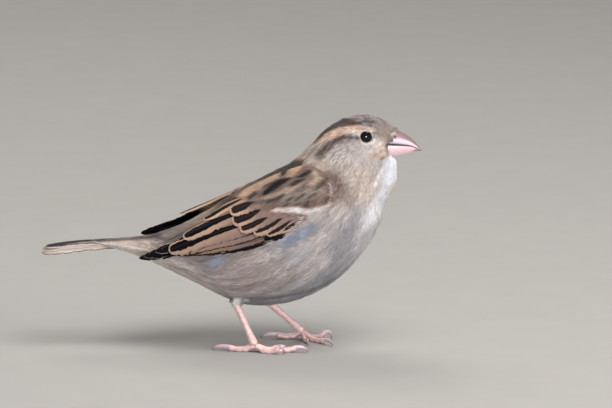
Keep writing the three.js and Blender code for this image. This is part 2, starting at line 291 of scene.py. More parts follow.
class Form:
    """A surface p, q -> xyz with a lift along its outward normal."""

    turn: float = 1.0

    def surface(self, p: Array, q: Array) -> Array:
        """The point of the surface at p, q."""
        raise NotImplementedError

    def slopes(self, p: Array, q: Array) -> tuple[Array, Array, Array]:
        """How the point moves with p and with q, by small differences, and the outward normal."""
        along = (self.surface(p + STEP, q) - self.surface(p - STEP, q)) / (2 * STEP)
        across = (self.surface(p, q + STEP) - self.surface(p, q - STEP)) / (2 * STEP)
        return along, across, unit(np.cross(along, across)) * self.turn

    def lifted(self, p: Array, q: Array, lift: Any) -> tuple[Array, Array]:
        """The point at p, q raised by lift along the normal, and the normal."""
        normal = self.slopes(p, q)[2]
        return self.surface(p, q) + normal * np.asarray(lift)[..., None], normal


def egg(low: Any, high: Any, half: Any, widest: Any, power: Any, q: Array) -> Array:
    """Points of an upright egg-shaped section, q once round it from its top.

    It rises from its widest place by the cosine of q's angle and goes out by its sine to a power.

    Args:
        low: The bottom as x, z.
        high: The top as x, z.
        half: Half the width.
        widest: The widest place, as a share of the height.
        power: The sine's power above the widest place and below it.
        q: Where to read it.

    Returns:
        The points.
    """
    up, out = np.cos(np.pi * q), np.sin(np.pi * q)
    share = widest + np.where(up > 0, 1 - widest, widest) * up
    y = half * np.sign(out) * np.abs(out) ** np.where(up > 0, *power)
    return np.stack([mix(low[0], high[0], share), y, mix(low[1], high[1], share)], -1)


@dataclass(frozen=True)
class Station:
    """One section of the plumage: its chord from crest to keel as x, z, and how wide it is."""

    crest: Pair
    keel: Pair
    half: float
    widest: float
    sharp: float = 1.0
    hollow: float = 0.0


@dataclass
class BodyForm(Form):
    """The plumage from the bill's base to the tail.

    p runs from the bill to the tail. q is 0 along the crest and 1 or -1 along the keel, by the left or
    the right. A section is an egg, with the power sharp below its widest place, and its sides are set
    back from the chord by hollow.
    """

    stations: tuple[Station, ...] = (
        Station((61.8, 80.9), (58.7, 72.3), 4.2, 0.5, 1, 2),
        Station((57.8, 84), (60.8, 70.4), 7, 0.52, 1.05, 2.4),
        Station((50.6, 86.6), (61.2, 66), 9, 0.58, 1.2, 1),
        Station((42.6, 85.8), (60.9, 61.5), 10, 0.54, 1.25, 0.2),
        Station((34.9, 81.7), (59, 57.2), 10.9, 0.48, 1.15),
        Station((28.6, 75.2), (56.8, 52.4), 13.2, 0.46, 1.05),
        Station((22, 69.2), (55, 45.4), 16.6, 0.48),
        Station((12.5, 64.2), (49, 35.7), 19.2, 0.5),
        Station((1.5, 58), (38.3, 24.6), 20.2, 0.5),
        Station((-9, 51), (22.8, 17.1), 19.4, 0.48),
        Station((-18.5, 45.8), (4.9, 16.1), 16.6, 0.46),
        Station((-27.5, 42.5), (-13, 24.2), 12, 0.5),
        Station((-35.5, 41), (-29.5, 32.1), 8.2, 0.55),
        Station((-43.5, 40.4), (-42, 36.6), 5.2, 0.6),
        Station((-50, 40.2), (-50, 38.2), 2.6, 0.6),
    )
    turn: float = -1.0

    def __post_init__(self) -> None:
        """Gathers the stations' numbers as rows: crest, keel, then half, widest, sharp and hollow."""
        self.rows = np.array([
            [*s.crest, *s.keel, s.half, s.widest, s.sharp, s.hollow] for s in self.stations])

    def surface(self, p: Array, q: Array) -> Array:
        """The point of the section at p, turned by q."""
        crest_x, crest_z, *keel, half, widest, sharp, hollow = np.moveaxis(spline(self.rows, p), -1, 0)
        points = egg(keel, (crest_x, crest_z), half, widest, (1.0, sharp), q)
        points[..., 0] -= hollow * np.abs(np.sin(np.pi * q)) ** 1.5
        return points


@dataclass
class LimbForm(Form):
    """A round limb of changing thickness: p runs along it and q is once round it from -1 to 1."""

    path: Sequence[Sequence[float]] = ()
    radii: Sequence[float] = ()
    turn: float = 1.0

    def surface(self, p: Array, q: Array) -> Array:
        """A circle round the path, in the plane across it."""
        middle = spline(self.path, p)
        along = unit(spline(self.path, p + STEP) - spline(self.path, p - STEP))
        across = unit(np.cross(along, np.array([0, 1, 0])))
        upward = np.cross(across, along)
        radius = spline(self.radii, p)[..., None]
        angle = (np.pi * q)[..., None]
        return middle + radius * (across * np.cos(angle) + upward * np.sin(angle))


@dataclass
class WingForm(Form):
    """The folded wing: p runs from the wrist to the tip and q from the upper edge to the lower one.

    Between the edges it bows outwards by 4 q (1 - q) times the bulge. It bends in over the back above the
    upper edge and in to the flank below the lower one. press pulls the wrist in, tip_lift raises the tip
    by p squared, and tuck lowers the front half's upper edge by the square of 1 - q.
    """

    side: Side = Side.RIGHT
    upper: tuple[Triple, ...] = (
        (39, 15.2, 62.6), (29.5, 11.6, 69.2), (16, 9.8, 65.2), (2, 10.8, 58.2),
        (-10, 13.4, 50), (-22.5, 16.2, 42.9), (-34, 17.3, 38.8))
    lower: tuple[Triple, ...] = (
        (39, 16.2, 60), (35, 19.2, 54.6), (24, 20.8, 49.6), (9, 21.2, 43.4),
        (-9, 20.4, 39.6), (-22, 19, 37), (-34, 17.9, 35.2))
    bulge: Numbers = (0.6, 4, 4.8, 4.4, 3.2, 1.4, 0.3)
    tip_lift: float = 0.0
    tuck: float = 0.0
    press: float = 1.8

    def __post_init__(self) -> None:
        """The cross product of the slopes points out on the right and in on the left."""
        self.turn = -float(self.side.value)

    def surface(self, p: Array, q: Array) -> Array:
        """A bowed line between the two edges at p."""
        high, low = spline(self.upper, p), spline(self.lower, p)
        run = low - high
        out = unit(np.stack([np.zeros_like(p + q), -run[..., 2] + 0 * q, run[..., 1] + 0 * q], -1))
        within = np.clip(q, -0.35, 1.35)
        bow = 4 * within * (1 - within) * spline(self.bulge, p) * np.where(within > 1, 0.85, 1)
        above = np.minimum(q + 0 * p, 0)[..., None]
        inward = np.linalg.norm(run, axis=-1, keepdims=True) * np.array([0, -0.97, 0.1])
        point = mix(high, low, np.maximum(q + 0 * p, 0)[..., None]) - above * inward
        point = point + out * np.where(within < 0, 0.35 * bow, bow)[..., None]
        point[..., 1] -= self.press * (1 - ramp(p, -0.05, 0.24))
        point[..., 1] *= self.side.value
        tucked = self.tuck * (1 - ramp(p, 0.3, 0.8)) * np.clip(1 - q, 0, 1) ** 2
        point[..., 2] += self.tip_lift * p ** 2 - tucked
        return point


@dataclass
class TailForm(Form):
    """The closed tail: p runs from its root to its tip and q across it from -1 to 1."""

    turn: float = -1.0
    root: Pair = (-37.5, 39.3)
    bend: Pair = (-55, 40)
    tip: Pair = (-70.2, 36.9)
    half: Pair = (4, 6.6)
    droop: float = 1.3

    def surface(self, p: Array, q: Array) -> Array:
        """A parabola through root, bend and tip, sagging to both sides by the square of q."""
        a, b, c = (np.array(point) for point in (self.root, self.bend, self.tip))
        s = np.asarray(p)[..., None]
        line = a * (1 - s) ** 2 + b * 2 * s * (1 - s) + c * s ** 2
        width = mix(self.half[0], self.half[1], p)
        return np.stack([
            line[..., 0] + 0 * q, q * width, line[..., 1] - self.droop * np.clip(q, -1.3, 1.3) ** 2], -1)


# Finishes


@dataclass(frozen=True)
class Socketed:
    """Short ways to add and wire nodes of one tree."""

    tree: bpy.types.NodeTree

    def add(self, kind: str, feeds: dict[Any, Any] | None = None, **settings: Any) -> bpy.types.Node:
        """A new node with its properties set and its inputs fed."""
        node = self.tree.nodes.new(kind)
        for name, value in settings.items():
            setattr(node, name, value)
        self.feed(node.inputs, feeds or {})
        return node

    def feed(self, sockets: Any, feeds: dict[Any, Any]) -> None:
        """Wires each named or numbered socket to a socket, or sets a plain value on it."""
        for key, source in feeds.items():
            if isinstance(source, bpy.types.NodeSocket):
                self.tree.links.new(source, sockets[key])
            else:
                sockets[key].default_value = opaque(source)

    def maths(self, operation: str, *terms: Any) -> bpy.types.NodeSocket:
        """A Math node over its terms."""
        return self.add("ShaderNodeMath", dict(enumerate(terms)), operation=operation).outputs[0]

    def blend(self, low: Any, high: Any, share: Any, mode: str = "MIX") -> bpy.types.NodeSocket:
        """A colour between two colours."""
        feeds = {"Factor": share, 6: low, 7: high}
        return self.add("ShaderNodeMix", feeds, data_type="RGBA", blend_type=mode).outputs[2]

    def scaled(self, colour: Any, gain: Any) -> bpy.types.NodeSocket:
        """A colour made lighter or darker by a gain."""
        grey = self.add("ShaderNodeCombineColor", {0: gain, 1: gain, 2: gain})
        return self.blend(colour, grey.outputs[0], 1, "MULTIPLY")

    def smooth(self, value: Any, low: float, high: float) -> bpy.types.NodeSocket:
        """0 below low, 1 above high and a smooth S between."""
        feeds = {"Value": value, "From Min": low, "From Max": high}
        return self.add("ShaderNodeMapRange", feeds, interpolation_type="SMOOTHSTEP").outputs["Result"]

    def attribute(self, name: str, output: str) -> bpy.types.NodeSocket:
        """What each point of the piece knows under a name."""
        return self.add("ShaderNodeAttribute", attribute_name=name).outputs[output]

    def noise(self, vector: Any, scale: Any, detail: float) -> bpy.types.NodeSocket:
        """Smooth noise round one half."""
        feeds = {"Vector": vector, "Scale": scale, "Detail": detail}
        return self.add("ShaderNodeTexNoise", feeds).outputs["Fac"]

    def shared(self, name: str, build: Callable[[], bpy.types.NodeTree], feeds: dict[str, Any]) -> Any:
        """Places a shared node group, built the first time, and gives its outputs."""
        tree = bpy.data.node_groups.get(name) or build()
        return self.add("ShaderNodeGroup", feeds, node_tree=tree).outputs


def opaque(colour: Any) -> Any:
    """A plain colour with its alpha; anything else stays as it is."""
    return (*colour, 1) if isinstance(colour, tuple) and len(colour) == 3 else colour


def group(name: str, inputs: dict[str, Any], outputs: dict[str, str]) -> tuple[Socketed, Any, Any]:
    """A new shader node group with its own inputs and outputs.

    Args:
        name: The group's name.
        inputs: Each input's name and default: a number, a colour or None for a vector.
        outputs: Each output's name and socket type.

    Returns:
        The group's wiring, its input node's sockets and its output node's sockets.
    """
    tree = bpy.data.node_groups.new(name, "ShaderNodeTree")
    for label, default in inputs.items():
        kind = {float: "NodeSocketFloat", tuple: "NodeSocketColor"}.get(type(default), "NodeSocketVector")
        socket = tree.interface.new_socket(label, in_out="INPUT", socket_type=kind)
        if default is not None:
            socket.default_value = opaque(default)
    for label, kind in outputs.items():
        tree.interface.new_socket(label, in_out="OUTPUT", socket_type=kind)
    wires = Socketed(tree)
    return wires, wires.add("NodeGroupInput").outputs, wires.add("NodeGroupOutput").inputs


def mottle_group() -> bpy.types.NodeTree:
    """Mottle: a colour varied lightly and darkly by noise over the object, with the noise as a height."""
    wires, given, made = group(
        "Mottle", {"Colour": (0.5, 0.5, 0.5), "Amount": 0.2, "Scale": 900.0},
        {"Colour": "NodeSocketColor", "Height": "NodeSocketFloat"})
    place = wires.add("ShaderNodeTexCoord").outputs["Object"]
    noise = wires.noise(place, given["Scale"], 4)
    swing = wires.maths("MULTIPLY", wires.maths("SUBTRACT", noise, 0.5), given["Amount"])
    gain = wires.maths("MULTIPLY_ADD", swing, 3, 1)
    wires.feed(made, {"Colour": wires.scaled(given["Colour"], gain), "Height": noise})
    return wires.tree


def barb_group() -> bpy.types.NodeTree:
    """Barbs: a vane's centre, edge and rim colours, parted by ragged lines and ruled with fine barbs.

    Barb is a vector of the place along the barbs' direction in millimetres, the distance from the
    shaft and the feather's own number. Core is the distance inside the centre's outline and Rim the
    distance from the vane's own outline.
    """
    wires, given, made = group("Barbs", {
        "Centre": (0.1, 0.1, 0.1), "Edge": (0.5, 0.4, 0.3), "Fringe": (0.7, 0.6, 0.5), "Barb": None,
        "Core": 0.0, "Rim": 1.0, "Soft": 0.16, "Width": 0.25,
    }, {"Colour": "NodeSocketColor", "Height": "NodeSocketFloat"})
    parts = wires.add("ShaderNodeSeparateXYZ", {0: given["Barb"]}).outputs
    stretch = (3.4, 0.25, 7.3)
    ruled = wires.add("ShaderNodeCombineXYZ", {
        i: wires.maths("MULTIPLY", parts[i], stretch[i]) for i in range(3)}).outputs[0]
    fine = wires.noise(ruled, 1.6, 3)
    wide = wires.noise(ruled, 0.3, 1)
    ragged = wires.maths("ADD", wires.maths("MULTIPLY_ADD", fine, 1.1, -0.55),
                         wires.maths("MULTIPLY_ADD", wide, 0.9, -0.45))
    inside = wires.maths("ADD", given["Core"], wires.maths("MULTIPLY", ragged, 0.42))
    share = wires.maths("DIVIDE", inside, given["Soft"])
    body = wires.blend(given["Edge"], given["Centre"], wires.smooth(share, -1, 1))
    near = wires.maths("ADD", given["Rim"], wires.maths("MULTIPLY", ragged, 0.35))
    near = wires.maths("DIVIDE", near, given["Width"])
    body = wires.blend(given["Fringe"], body, wires.smooth(near, 0.6, 1.3))
    lit = wires.scaled(body, wires.maths("MULTIPLY_ADD", fine, 0.95, 0.525))
    shaft = wires.smooth(wires.maths("ABSOLUTE", parts[1]), 0.16, 0.05)
    dark = wires.blend(lit, (0.045, 0.03, 0.022), wires.maths("MULTIPLY", shaft, 0.4))
    wires.feed(made, {"Colour": dark, "Height": fine})
    return wires.tree


@dataclass
class Finish:
    """A material, built when it is first worn."""

    name: str
    slot: str
    roughness: float = 0.6
    made: bpy.types.Material | None = None

    def material(self) -> bpy.types.Material:
        """The one material of this finish."""
        if self.made is None:
            self.made = bpy.data.materials.new(self.name)
            self.made.use_nodes = True
            shader = self.made.node_tree.nodes["Principled BSDF"]
            shader.inputs["Roughness"].default_value = self.roughness
            self.dress(Socketed(self.made.node_tree), shader.inputs)
        return self.made

    def dress(self, wires: Socketed, shader: Any) -> None:
        """Feeds the colour, the gloss and the relief to the shader's sockets."""
        raise NotImplementedError

    @staticmethod
    def relief(wires: Socketed, height: Any, depth: float, strength: float) -> bpy.types.NodeSocket:
        """A normal raised by a height, through a Bump node; depth is in millimetres."""
        feeds = {"Strength": strength, "Distance": depth * METRES, "Height": height}
        return wires.add("ShaderNodeBump", feeds).outputs[0]


@dataclass
class PlumeFinish(Finish):
    """Soft plumage: each point's own tint, a little mottled, with a weak sheen."""

    mottle: float = 0.12
    scale: float = 1500.0
    grain: float = 0.0
    shine: float = 0.22
    tint: str = "Plume tint"

    def dress(self, wires: Socketed, shader: Any) -> None:
        """The point's tint through Mottle, whose height gives the grain."""
        feeds = {"Colour": wires.attribute(self.tint, "Color"), "Amount": self.mottle, "Scale": self.scale}
        mottled = wires.shared("Mottle", mottle_group, feeds)
        wires.feed(shader, {"Base Color": mottled["Colour"], "Specular IOR Level": self.shine})
        if self.grain > 0:
            wires.feed(shader, {"Normal": self.relief(wires, mottled["Height"], self.grain, 0.6)})


@dataclass
class HornFinish(PlumeFinish):
    """Horn or bare skin: mottled as plumage is, with more gloss and a fine grain in relief."""

    mottle: float = 0.1
    scale: float = 900.0
    grain: float = 0.03
    shine: float = 0.5
    tint: str = "Horn tint"


@dataclass
class VaneFinish(Finish):
    """Feather vanes: centre and edge tints parted and ruled by barbs."""

    soft: float = 0.16
    shine: float = 0.03

    def dress(self, wires: Socketed, shader: Any) -> None:
        """The Barbs group's colour, and its height as relief."""
        feeds = {name: wires.attribute(f"{name} tint", "Color") for name in ("Centre", "Edge", "Fringe")}
        feeds["Barb"] = wires.attribute("Barb", "Vector")
        feeds.update({name: wires.attribute(name, "Fac") for name in ("Core", "Rim")})
        barbs = wires.shared("Barbs", barb_group, feeds | {"Soft": self.soft})
        wires.feed(shader, {"Base Color": barbs["Colour"], "Specular IOR Level": self.shine,
                            "Normal": self.relief(wires, barbs["Height"], 0.05, 0.5)})


PLUME = PlumeFinish("plume", "body_plumage", 0.75)
HEAD_PLUME = PlumeFinish("head_plume", "head_plumage", 0.75)
SKIN = PlumeFinish("feathered_skin", "body_plumage", 0.9, mottle=0.35, scale=2500.0)
WING_PLUME = PlumeFinish("wing_plume", "wing_feather", 0.75)
WING_VANE = VaneFinish("wing_vane", "wing_feather", 0.55)
TAIL_VANE = VaneFinish("tail_vane", "tail_feather", 0.5)
UPPER_HORN = HornFinish("upper_bill_horn", "bill_upper", 0.42, mottle=0.14, shine=0.35)
LOWER_HORN = HornFinish("lower_bill_horn", "bill_lower", 0.36, mottle=0.1)
EYE_GLOSS = HornFinish("wet_eye", "eye", 0.03, mottle=0.2, grain=0.0, shine=0.28)
LID_SKIN = HornFinish("eyelid_skin", "head_plumage", 0.6, mottle=0.3, scale=4000.0, grain=0.08)
LEG_SKIN = HornFinish("scaled_leg_skin", "leg_skin", 0.3, mottle=0.32, scale=1100.0, grain=0.05)
CLAW_HORN = HornFinish("claw_horn", "claw", 0.3, mottle=0.15)


# Markings


@dataclass(frozen=True)
class Stroke:
    """A band of colour drawn on both sides of the body, in the plane of x and z.

    knots are x, z and half-width. The mask is 1 within the half-width of the line through them, fades
    from 1 - fade to 1 + fade times it, and leaves out what lies nearer the middle plane than least_y.
    """

    knots: tuple[Triple, ...]
    tint: Colour
    strength: float = 1.0
    fade: float = 0.5
    least_y: float = 0.0

    def mask(self, points: Array) -> Array:
        """How much of the stroke's tint each point takes."""
        place = points[:, (0, 2)]
        line = np.array(self.knots, float)
        best = np.full(len(points), np.inf)
        for a, b in zip(line[:-1], line[1:]):
            run = b[:2] - a[:2]
            share = np.clip((place - a[:2]) @ run / max(float(run @ run), 1e-9), 0, 1)
            gap = np.linalg.norm(place - a[:2] - share[:, None] * run, axis=1)
            best = np.minimum(best, gap / mix(a[2], b[2], share))
        level = 1 - ramp(best, 1 - self.fade, 1 + self.fade)
        return level * self.strength * ramp(np.abs(points[:, 1]), self.least_y - 1, self.least_y + 1)


def ripple(points: Array, size: float, seed: int) -> Array:
    """A smooth field of chance between about -1 and 1 whose patches measure about size.

    It is the mean of ten waves in random directions, times the square root of ten over two.
    """
    chance = np.random.default_rng(seed)
    waves = unit(chance.normal(0, 1, (10, 3))) * chance.uniform(0.6, 1.7, (10, 1)) * np.pi / size
    return np.cos(points @ waves.T + chance.uniform(0, 2 * np.pi, 10)).sum(-1) / np.sqrt(20)


def strokes(*rows: tuple[Any, ...]) -> tuple[Stroke, ...]:
    """A stroke from each row of knots, tint, strength, fade and least y."""
    return tuple(Stroke(*row) for row in rows)


@dataclass
class Palette:
    """Colours of soft plumage: a ground colour with strokes laid over it in order."""

    ground: Colour = (0.4, 0.35, 0.3)
    strokes: tuple[Stroke, ...] = ()
    patchy: float = 0.1
    patch_size: float = 3.0

    def zones(self, p: Array, q: Array) -> Array:
        """The ground colour at each place."""
        return np.broadcast_to(np.array(self.ground), (*np.shape(p), 3))

    def tint(self, points: Array, p: Array, q: Array) -> Array:
        """The colour at points of the plumage.

        Args:
            points: The points, as rows.
            p: Where each point is along the form.
            q: Where each point is round the form.

        Returns:
            The zones' colour under the strokes, lighter and darker in patches.
        """
        tint = self.zones(p, q)
        for stroke in self.strokes:
            tint = dyed(tint, stroke.tint, stroke.mask(points))
        large, small = ripple(points, self.patch_size, 1), ripple(points, self.patch_size / 2.6, 2)
        light = 1 + self.patchy * (large + 0.7 * small)
        return np.clip(tint * light[:, None], 0, 1)


UMBER = (0.05, 0.037, 0.032)
EARTH = (0.06, 0.043, 0.036)
SOOT = (0.012, 0.01, 0.01)
PITCH = (0.03, 0.022, 0.02)
COAL = (0.02, 0.016, 0.015)
BISTRE = (0.04, 0.03, 0.026)
BACK_STREAKS = strokes(
    # buff and dark bands that run down the back, from the neck towards the tail
    (((24, 69.8, 0.7), (19.5, 66.9, 0.9), (13.1, 63.6, 0.95), (6.7, 60, 0.9), (2.6, 57.5, 0.5)),
     (0.5, 0.33, 0.225), 1, 0.3),
    (((26, 69.8, 0.7), (23.2, 67.4, 0.85), (21, 65.8, 0.8)), (0.45, 0.29, 0.21), 1, 0.3),
    (((26, 70.4, 0.4), (23.4, 69.6, 0.7), (16.9, 66.6, 0.8), (6.7, 61.8, 0.8), (-0.1, 58.5, 0.7)), UMBER,
     0.95, 0.4),
    (((21.9, 68.6, 0.4), (19.9, 66.6, 0.6), (18.4, 65.8, 0.4)), PITCH, 1, 0.3),
    (((29, 68.2, 0.35), (26.8, 66.9, 0.55), (24.6, 66, 0.3)), COAL, 1, 0.25),
    (((16.6, 64.2, 0.2), (13, 62.3, 0.35), (10.6, 61, 0.2)), (0.06, 0.045, 0.037), 0.8, 0.4),
)


BODY_MARKS = BACK_STREAKS + strokes(
    (((25.4, 70, 0.5), (22.4, 68.3, 1.1), (16.5, 65.3, 1.4), (6.7, 60.3, 1.5), (-2, 56, 1.3),
     (-9, 52.3, 0.9)), UMBER, 0.85, 0.5),
    # throat, breast and cheek
    (((60.6, 71.2, 2.4), (60.6, 67, 3.6), (58.8, 63.2, 3.2)), (0.8, 0.79, 0.815), 0.95, 0.6),
    # grey lilac patches on the white throat: painted shade
    (((58.4, 70.2, 0.5), (57.4, 66.4, 0.8), (55.2, 62.8, 0.7)), (0.6, 0.57, 0.6), 0.7, 0.9, 1),
    (((62.4, 69.5, 0.7), (62.2, 65.6, 0.8), (60.6, 62.4, 0.7)), (0.66, 0.63, 0.655), 0.75, 0.9),
    (((60.2, 61.4, 0.7), (58.6, 59.4, 0.9), (57.4, 56.6, 0.6)), (0.6, 0.55, 0.46), 0.7, 0.9),
    (((56.2, 68.8, 0.4), (54.6, 65.4, 0.7), (53.2, 62, 0.5)), (0.8, 0.77, 0.77), 0.6, 0.9, 2),
    (((40, 69.4, 2.4), (36.4, 67.6, 3), (40, 63, 3), (43, 57, 3)), (0.25, 0.195, 0.165), 0.9, 0.8, 5),
    (((33, 73.6, 1.2), (29.6, 71.4, 1.2)), (0.44, 0.36, 0.315), 0.8, 0.7, 3),
    (((34.2, 66.8, 1.2), (37.6, 64.6, 2.2), (38.8, 61, 2.4), (36.8, 57.2, 1.8)), (0.18, 0.125, 0.1), 0.9,
     0.6, 5),
    (((57, 59.5, 2), (54.4, 54, 3), (51, 48.4, 2.8)), (0.7, 0.665, 0.66), 0.8, 0.8),
    # darker grey over the lower breast: painted shade
    (((46, 53, 2.4), (41.5, 45, 4.2), (39, 38, 4.4)), (0.25, 0.232, 0.24), 0.75, 0.9, 3),
    (((53, 75.4, 3), (45.5, 74.4, 5.2), (39.5, 73.4, 4.2)), (0.495, 0.425, 0.395), 0.95, 0.5, 3),
    (((44.5, 69, 1.5), (38.5, 68.5, 1.6)), (0.4, 0.335, 0.29), 0.5, 0.9, 4),
    # before the eye and down to the bill's corner
    (((60.6, 80, 2.2), (57, 81.4, 2.6), (53.6, 83.4, 1.6)), (0.32, 0.26, 0.22), 0.9, 0.5, 1.5),
    (((58.6, 77.6, 1), (56, 76.4, 1.8), (53.6, 75.6, 1.6)), (0.57, 0.435, 0.365), 0.85, 0.6, 3),
    (((57.8, 74.4, 1.2), (54.5, 73.4, 1.8), (51.6, 73, 1.4)), (0.5, 0.365, 0.285), 0.75, 0.7, 3),
    (((57.4, 79.2, 0.5), (56.2, 79.4, 0.6)), (0.5, 0.37, 0.29), 0.8, 0.7, 3),
    (((54.2, 79.9, 0.5), (53.8, 78.9, 0.6)), (0.52, 0.4, 0.32), 0.8, 0.7, 3),
    (((52.9, 82.5, 0.5), (52, 83.2, 0.5)), (0.54, 0.41, 0.33), 0.7, 0.7, 3),
    (((56.3, 72.4, 0.6), (55.4, 71.9, 0.6)), (0.16, 0.1, 0.08), 0.7, 0.8, 2),
    (((53.4, 73.6, 0.5), (52.9, 73.2, 0.5)), (0.25, 0.17, 0.14), 0.5, 0.8, 2),
    (((59.2, 76.4, 0.7), (57.6, 76.7, 0.6)), (0.12, 0.085, 0.07), 0.75, 0.7, 2),
    (((55.6, 75.2, 0.4), (54.6, 74.6, 0.4)), (0.3, 0.21, 0.165), 0.6, 0.9, 2),
    (((58, 72.9, 0.4), (57.2, 72.6, 0.4)), (0.3, 0.2, 0.155), 0.6, 0.9, 2),
    (((55, 77.9, 0.4), (54.2, 77, 0.4)), (0.74, 0.64, 0.57), 0.7, 0.9, 2),
    (((56.8, 78, 0.3), (55.9, 77.2, 0.4)), (0.4, 0.29, 0.23), 0.6, 0.9, 2),
    (((52, 74.9, 0.4), (50.6, 74.6, 0.5)), (0.68, 0.6, 0.55), 0.6, 0.9, 2),
    (((60.2, 80.2, 0.5), (59.5, 79.8, 0.5)), (0.1, 0.075, 0.06), 0.7, 0.8, 1),
    # the pale ring round the eye
    (((46.9, 79.4, 0.35), (48.2, 77.9, 0.55), (50.2, 77.3, 0.6), (52, 78.2, 0.5), (52.7, 79.6, 0.35)),
     (0.8, 0.71, 0.65), 0.95, 0.5, 3),
    (((47, 81.6, 0.35), (48.2, 83, 0.45), (50.2, 83.6, 0.5), (52.1, 82.6, 0.4)), (0.6, 0.44, 0.34), 0.7,
     0.6, 3),
    # brown behind the eye, dark beside the crown and the buff brow between
    (((47, 79.7, 0.35), (43.8, 79.9, 0.5), (40.6, 79.8, 0.6), (37.8, 78.2, 1), (35.3, 76.2, 1.3),
     (31.8, 72.9, 1.4)), (0.11, 0.072, 0.058), 0.85, 0.6, 3),
    (((40.5, 86.4, 0.9), (36, 84.6, 1.3), (32.4, 81.8, 1.3), (29.5, 78.8, 1.1)), (0.1, 0.068, 0.055), 0.7,
     0.7),
    (((47.6, 84.7, 0.4), (44, 84.9, 0.8), (39.8, 84.3, 1.15), (36, 82.6, 1.35), (33, 80.4, 1.2),
     (29.6, 77.4, 0.9)), (0.075, 0.048, 0.038), 0.9, 0.6),
    (((48.6, 83.4, 0.4), (46, 83.2, 0.9), (42, 82.4, 1.2), (38, 81, 1.25), (34.2, 79.1, 1.1),
     (30.4, 77, 0.9)), (0.69, 0.48, 0.36), 1, 0.45, 3),
    (((47.4, 83.3, 0.3), (45.4, 83.4, 0.6), (43.4, 83, 0.4)), (0.66, 0.4, 0.25), 0.7, 0.7, 3),
    (((42.6, 82.2, 0.4), (45, 82, 0.8), (47.4, 81.6, 0.8)), (0.78, 0.66, 0.585), 0.9, 0.5, 3),
    (((38.6, 70.8, 1), (34, 69.4, 1.2), (31, 67.4, 1)), (0.5, 0.41, 0.33), 0.5, 0.8, 5),
    # bluish grey on the flank below the wing's lower edge and under its tip: painted shade
    (((29, 47.4, 2.4), (24, 44.2, 3.4), (18, 42.8, 2.6)), (0.31, 0.32, 0.39), 0.75, 0.9, 8),
    (((27, 38.4, 2), (22, 36.2, 2)), (0.4, 0.4, 0.44), 0.5, 0.9, 8),
    (((-4, 36, 1.6), (-7.5, 34.4, 1.8)), (0.36, 0.38, 0.48), 0.75, 0.8, 8),
    # the dark line along the top of the tail's base
    (((-27, 42.1, 0.5), (-36, 41.35, 0.7), (-48, 40.6, 0.7), (-56, 40.1, 0.7)), (0.06, 0.045, 0.042), 1,
     0.4),
    # long shadows between the flank's feathers and the white under the tail
    (((34, 45, 0.4), (24, 38.4, 0.8), (10, 33.4, 0.7), (0, 31.6, 0.3)), (0.25, 0.2, 0.18), 0.5, 1, 8),
    (((28, 32, 0.4), (16, 27, 0.7), (4, 25.4, 0.4)), (0.24, 0.19, 0.175), 0.5, 1, 8),
    (((38, 26, 0.3), (30, 22.6, 0.6), (18, 20.4, 0.6), (5, 20.2, 0.4)), (0.13, 0.105, 0.095), 0.7, 0.9, 3),
    (((-6, 30, 0.4), (-14, 30, 0.6), (-24, 32.4, 0.4)), (0.26, 0.2, 0.16), 0.5, 0.9, 5),
    (((-30, 32.4, 0.6), (-36, 34.6, 1), (-42, 36.6, 0.9), (-47.5, 37.8, 0.4)), (0.86, 0.83, 0.8), 0.9,
     0.6),
)


@dataclass
class BodyPalette(Palette):
    """The soft plumage of head and body, shared by the skin and the coat."""

    crown: Colour = (0.33, 0.28, 0.27)
    crown_dark: Colour = (0.12, 0.09, 0.08)
    nape: Colour = (0.43, 0.355, 0.305)
    back: Colour = (0.34, 0.25, 0.185)
    back_dark: Colour = (0.07, 0.05, 0.04)
    rump: Colour = (0.235, 0.19, 0.165)
    tail_cover: Colour = (0.4, 0.325, 0.28)
    throat: Colour = (0.77, 0.76, 0.78)
    breast: Colour = (0.465, 0.43, 0.425)
    side: Colour = (0.44, 0.385, 0.355)
    flank: Colour = (0.395, 0.318, 0.288)
    # the belly's own grey, darkened as painted shade on the underside
    belly: Colour = (0.3, 0.288, 0.293)
    vent: Colour = (0.62, 0.53, 0.455)
    strokes: tuple[Stroke, ...] = BODY_MARKS
    patchy: float = 0.07
    patch_size: float = 2.0

    def zones(self, p: Array, q: Array) -> Array:
        """Colours that change from bill to tail with p, and from crest to keel with the size of q.

        Dark lines run down the back, side by side and broken, where the cosine of a wavering q is high.
        """
        reach = np.abs(q)
        wander = np.stack([p * 30, q * 8, 0 * p], -1)
        line = np.cos(reach * 105 + 1.4 * ripple(wander, 2.5, 7)) + 0.7 * ripple(wander * 1.4, 1.6, 8)
        back = dyed(self.back, self.back_dark, 0.85 * ramp(line, -0.1, 0.7))
        comb = np.stack([p * 60, q * 26, 0 * p], -1)
        crown = dyed(self.crown, self.crown_dark, ramp(ripple(comb, 0.9, 9), -0.3, 0.7))
        upper = spline([self.crown] * 4 + [self.nape] * 2 + [self.back] * 4 + [self.rump] * 2
                       + [self.tail_cover] * 3, p)
        upper = dyed(upper, crown, 1 - ramp(p, 0.26, 0.36))
        upper = dyed(upper, back, ramp(p, 0.37, 0.43) * (1 - ramp(p, 0.6, 0.68)))
        middle = spline([self.breast, self.nape, self.breast, self.side] + [self.nape] * 2 + [self.side] * 3
                        + [self.flank] * 2 + [self.vent] * 4, p)
        lower = spline([self.throat] * 3 + [self.breast] * 5 + [self.belly] * 3 + [self.vent] * 4, p)
        tint = dyed(upper, middle, ramp(reach, 0.3, 0.5))
        tint = dyed(tint, lower, ramp(reach, 0.6, 0.85))
        flow = np.stack([p * 16, np.cos(np.pi * q) * 20, np.sin(np.pi * q) * 20], -1)
        swing = 0.25 * ramp(p, 0.22, 0.42) * (ripple(flow, 1.5, 11) + 0.7 * ripple(flow, 0.75, 12))
        fleck = ripple(np.stack([p * 90, q * 34, 0 * p], -1), 0.8, 13)
        swing = swing + 0.12 * (1 - ramp(p, 0.22, 0.36)) * fleck
        return tint * (1 + swing)[:, None]


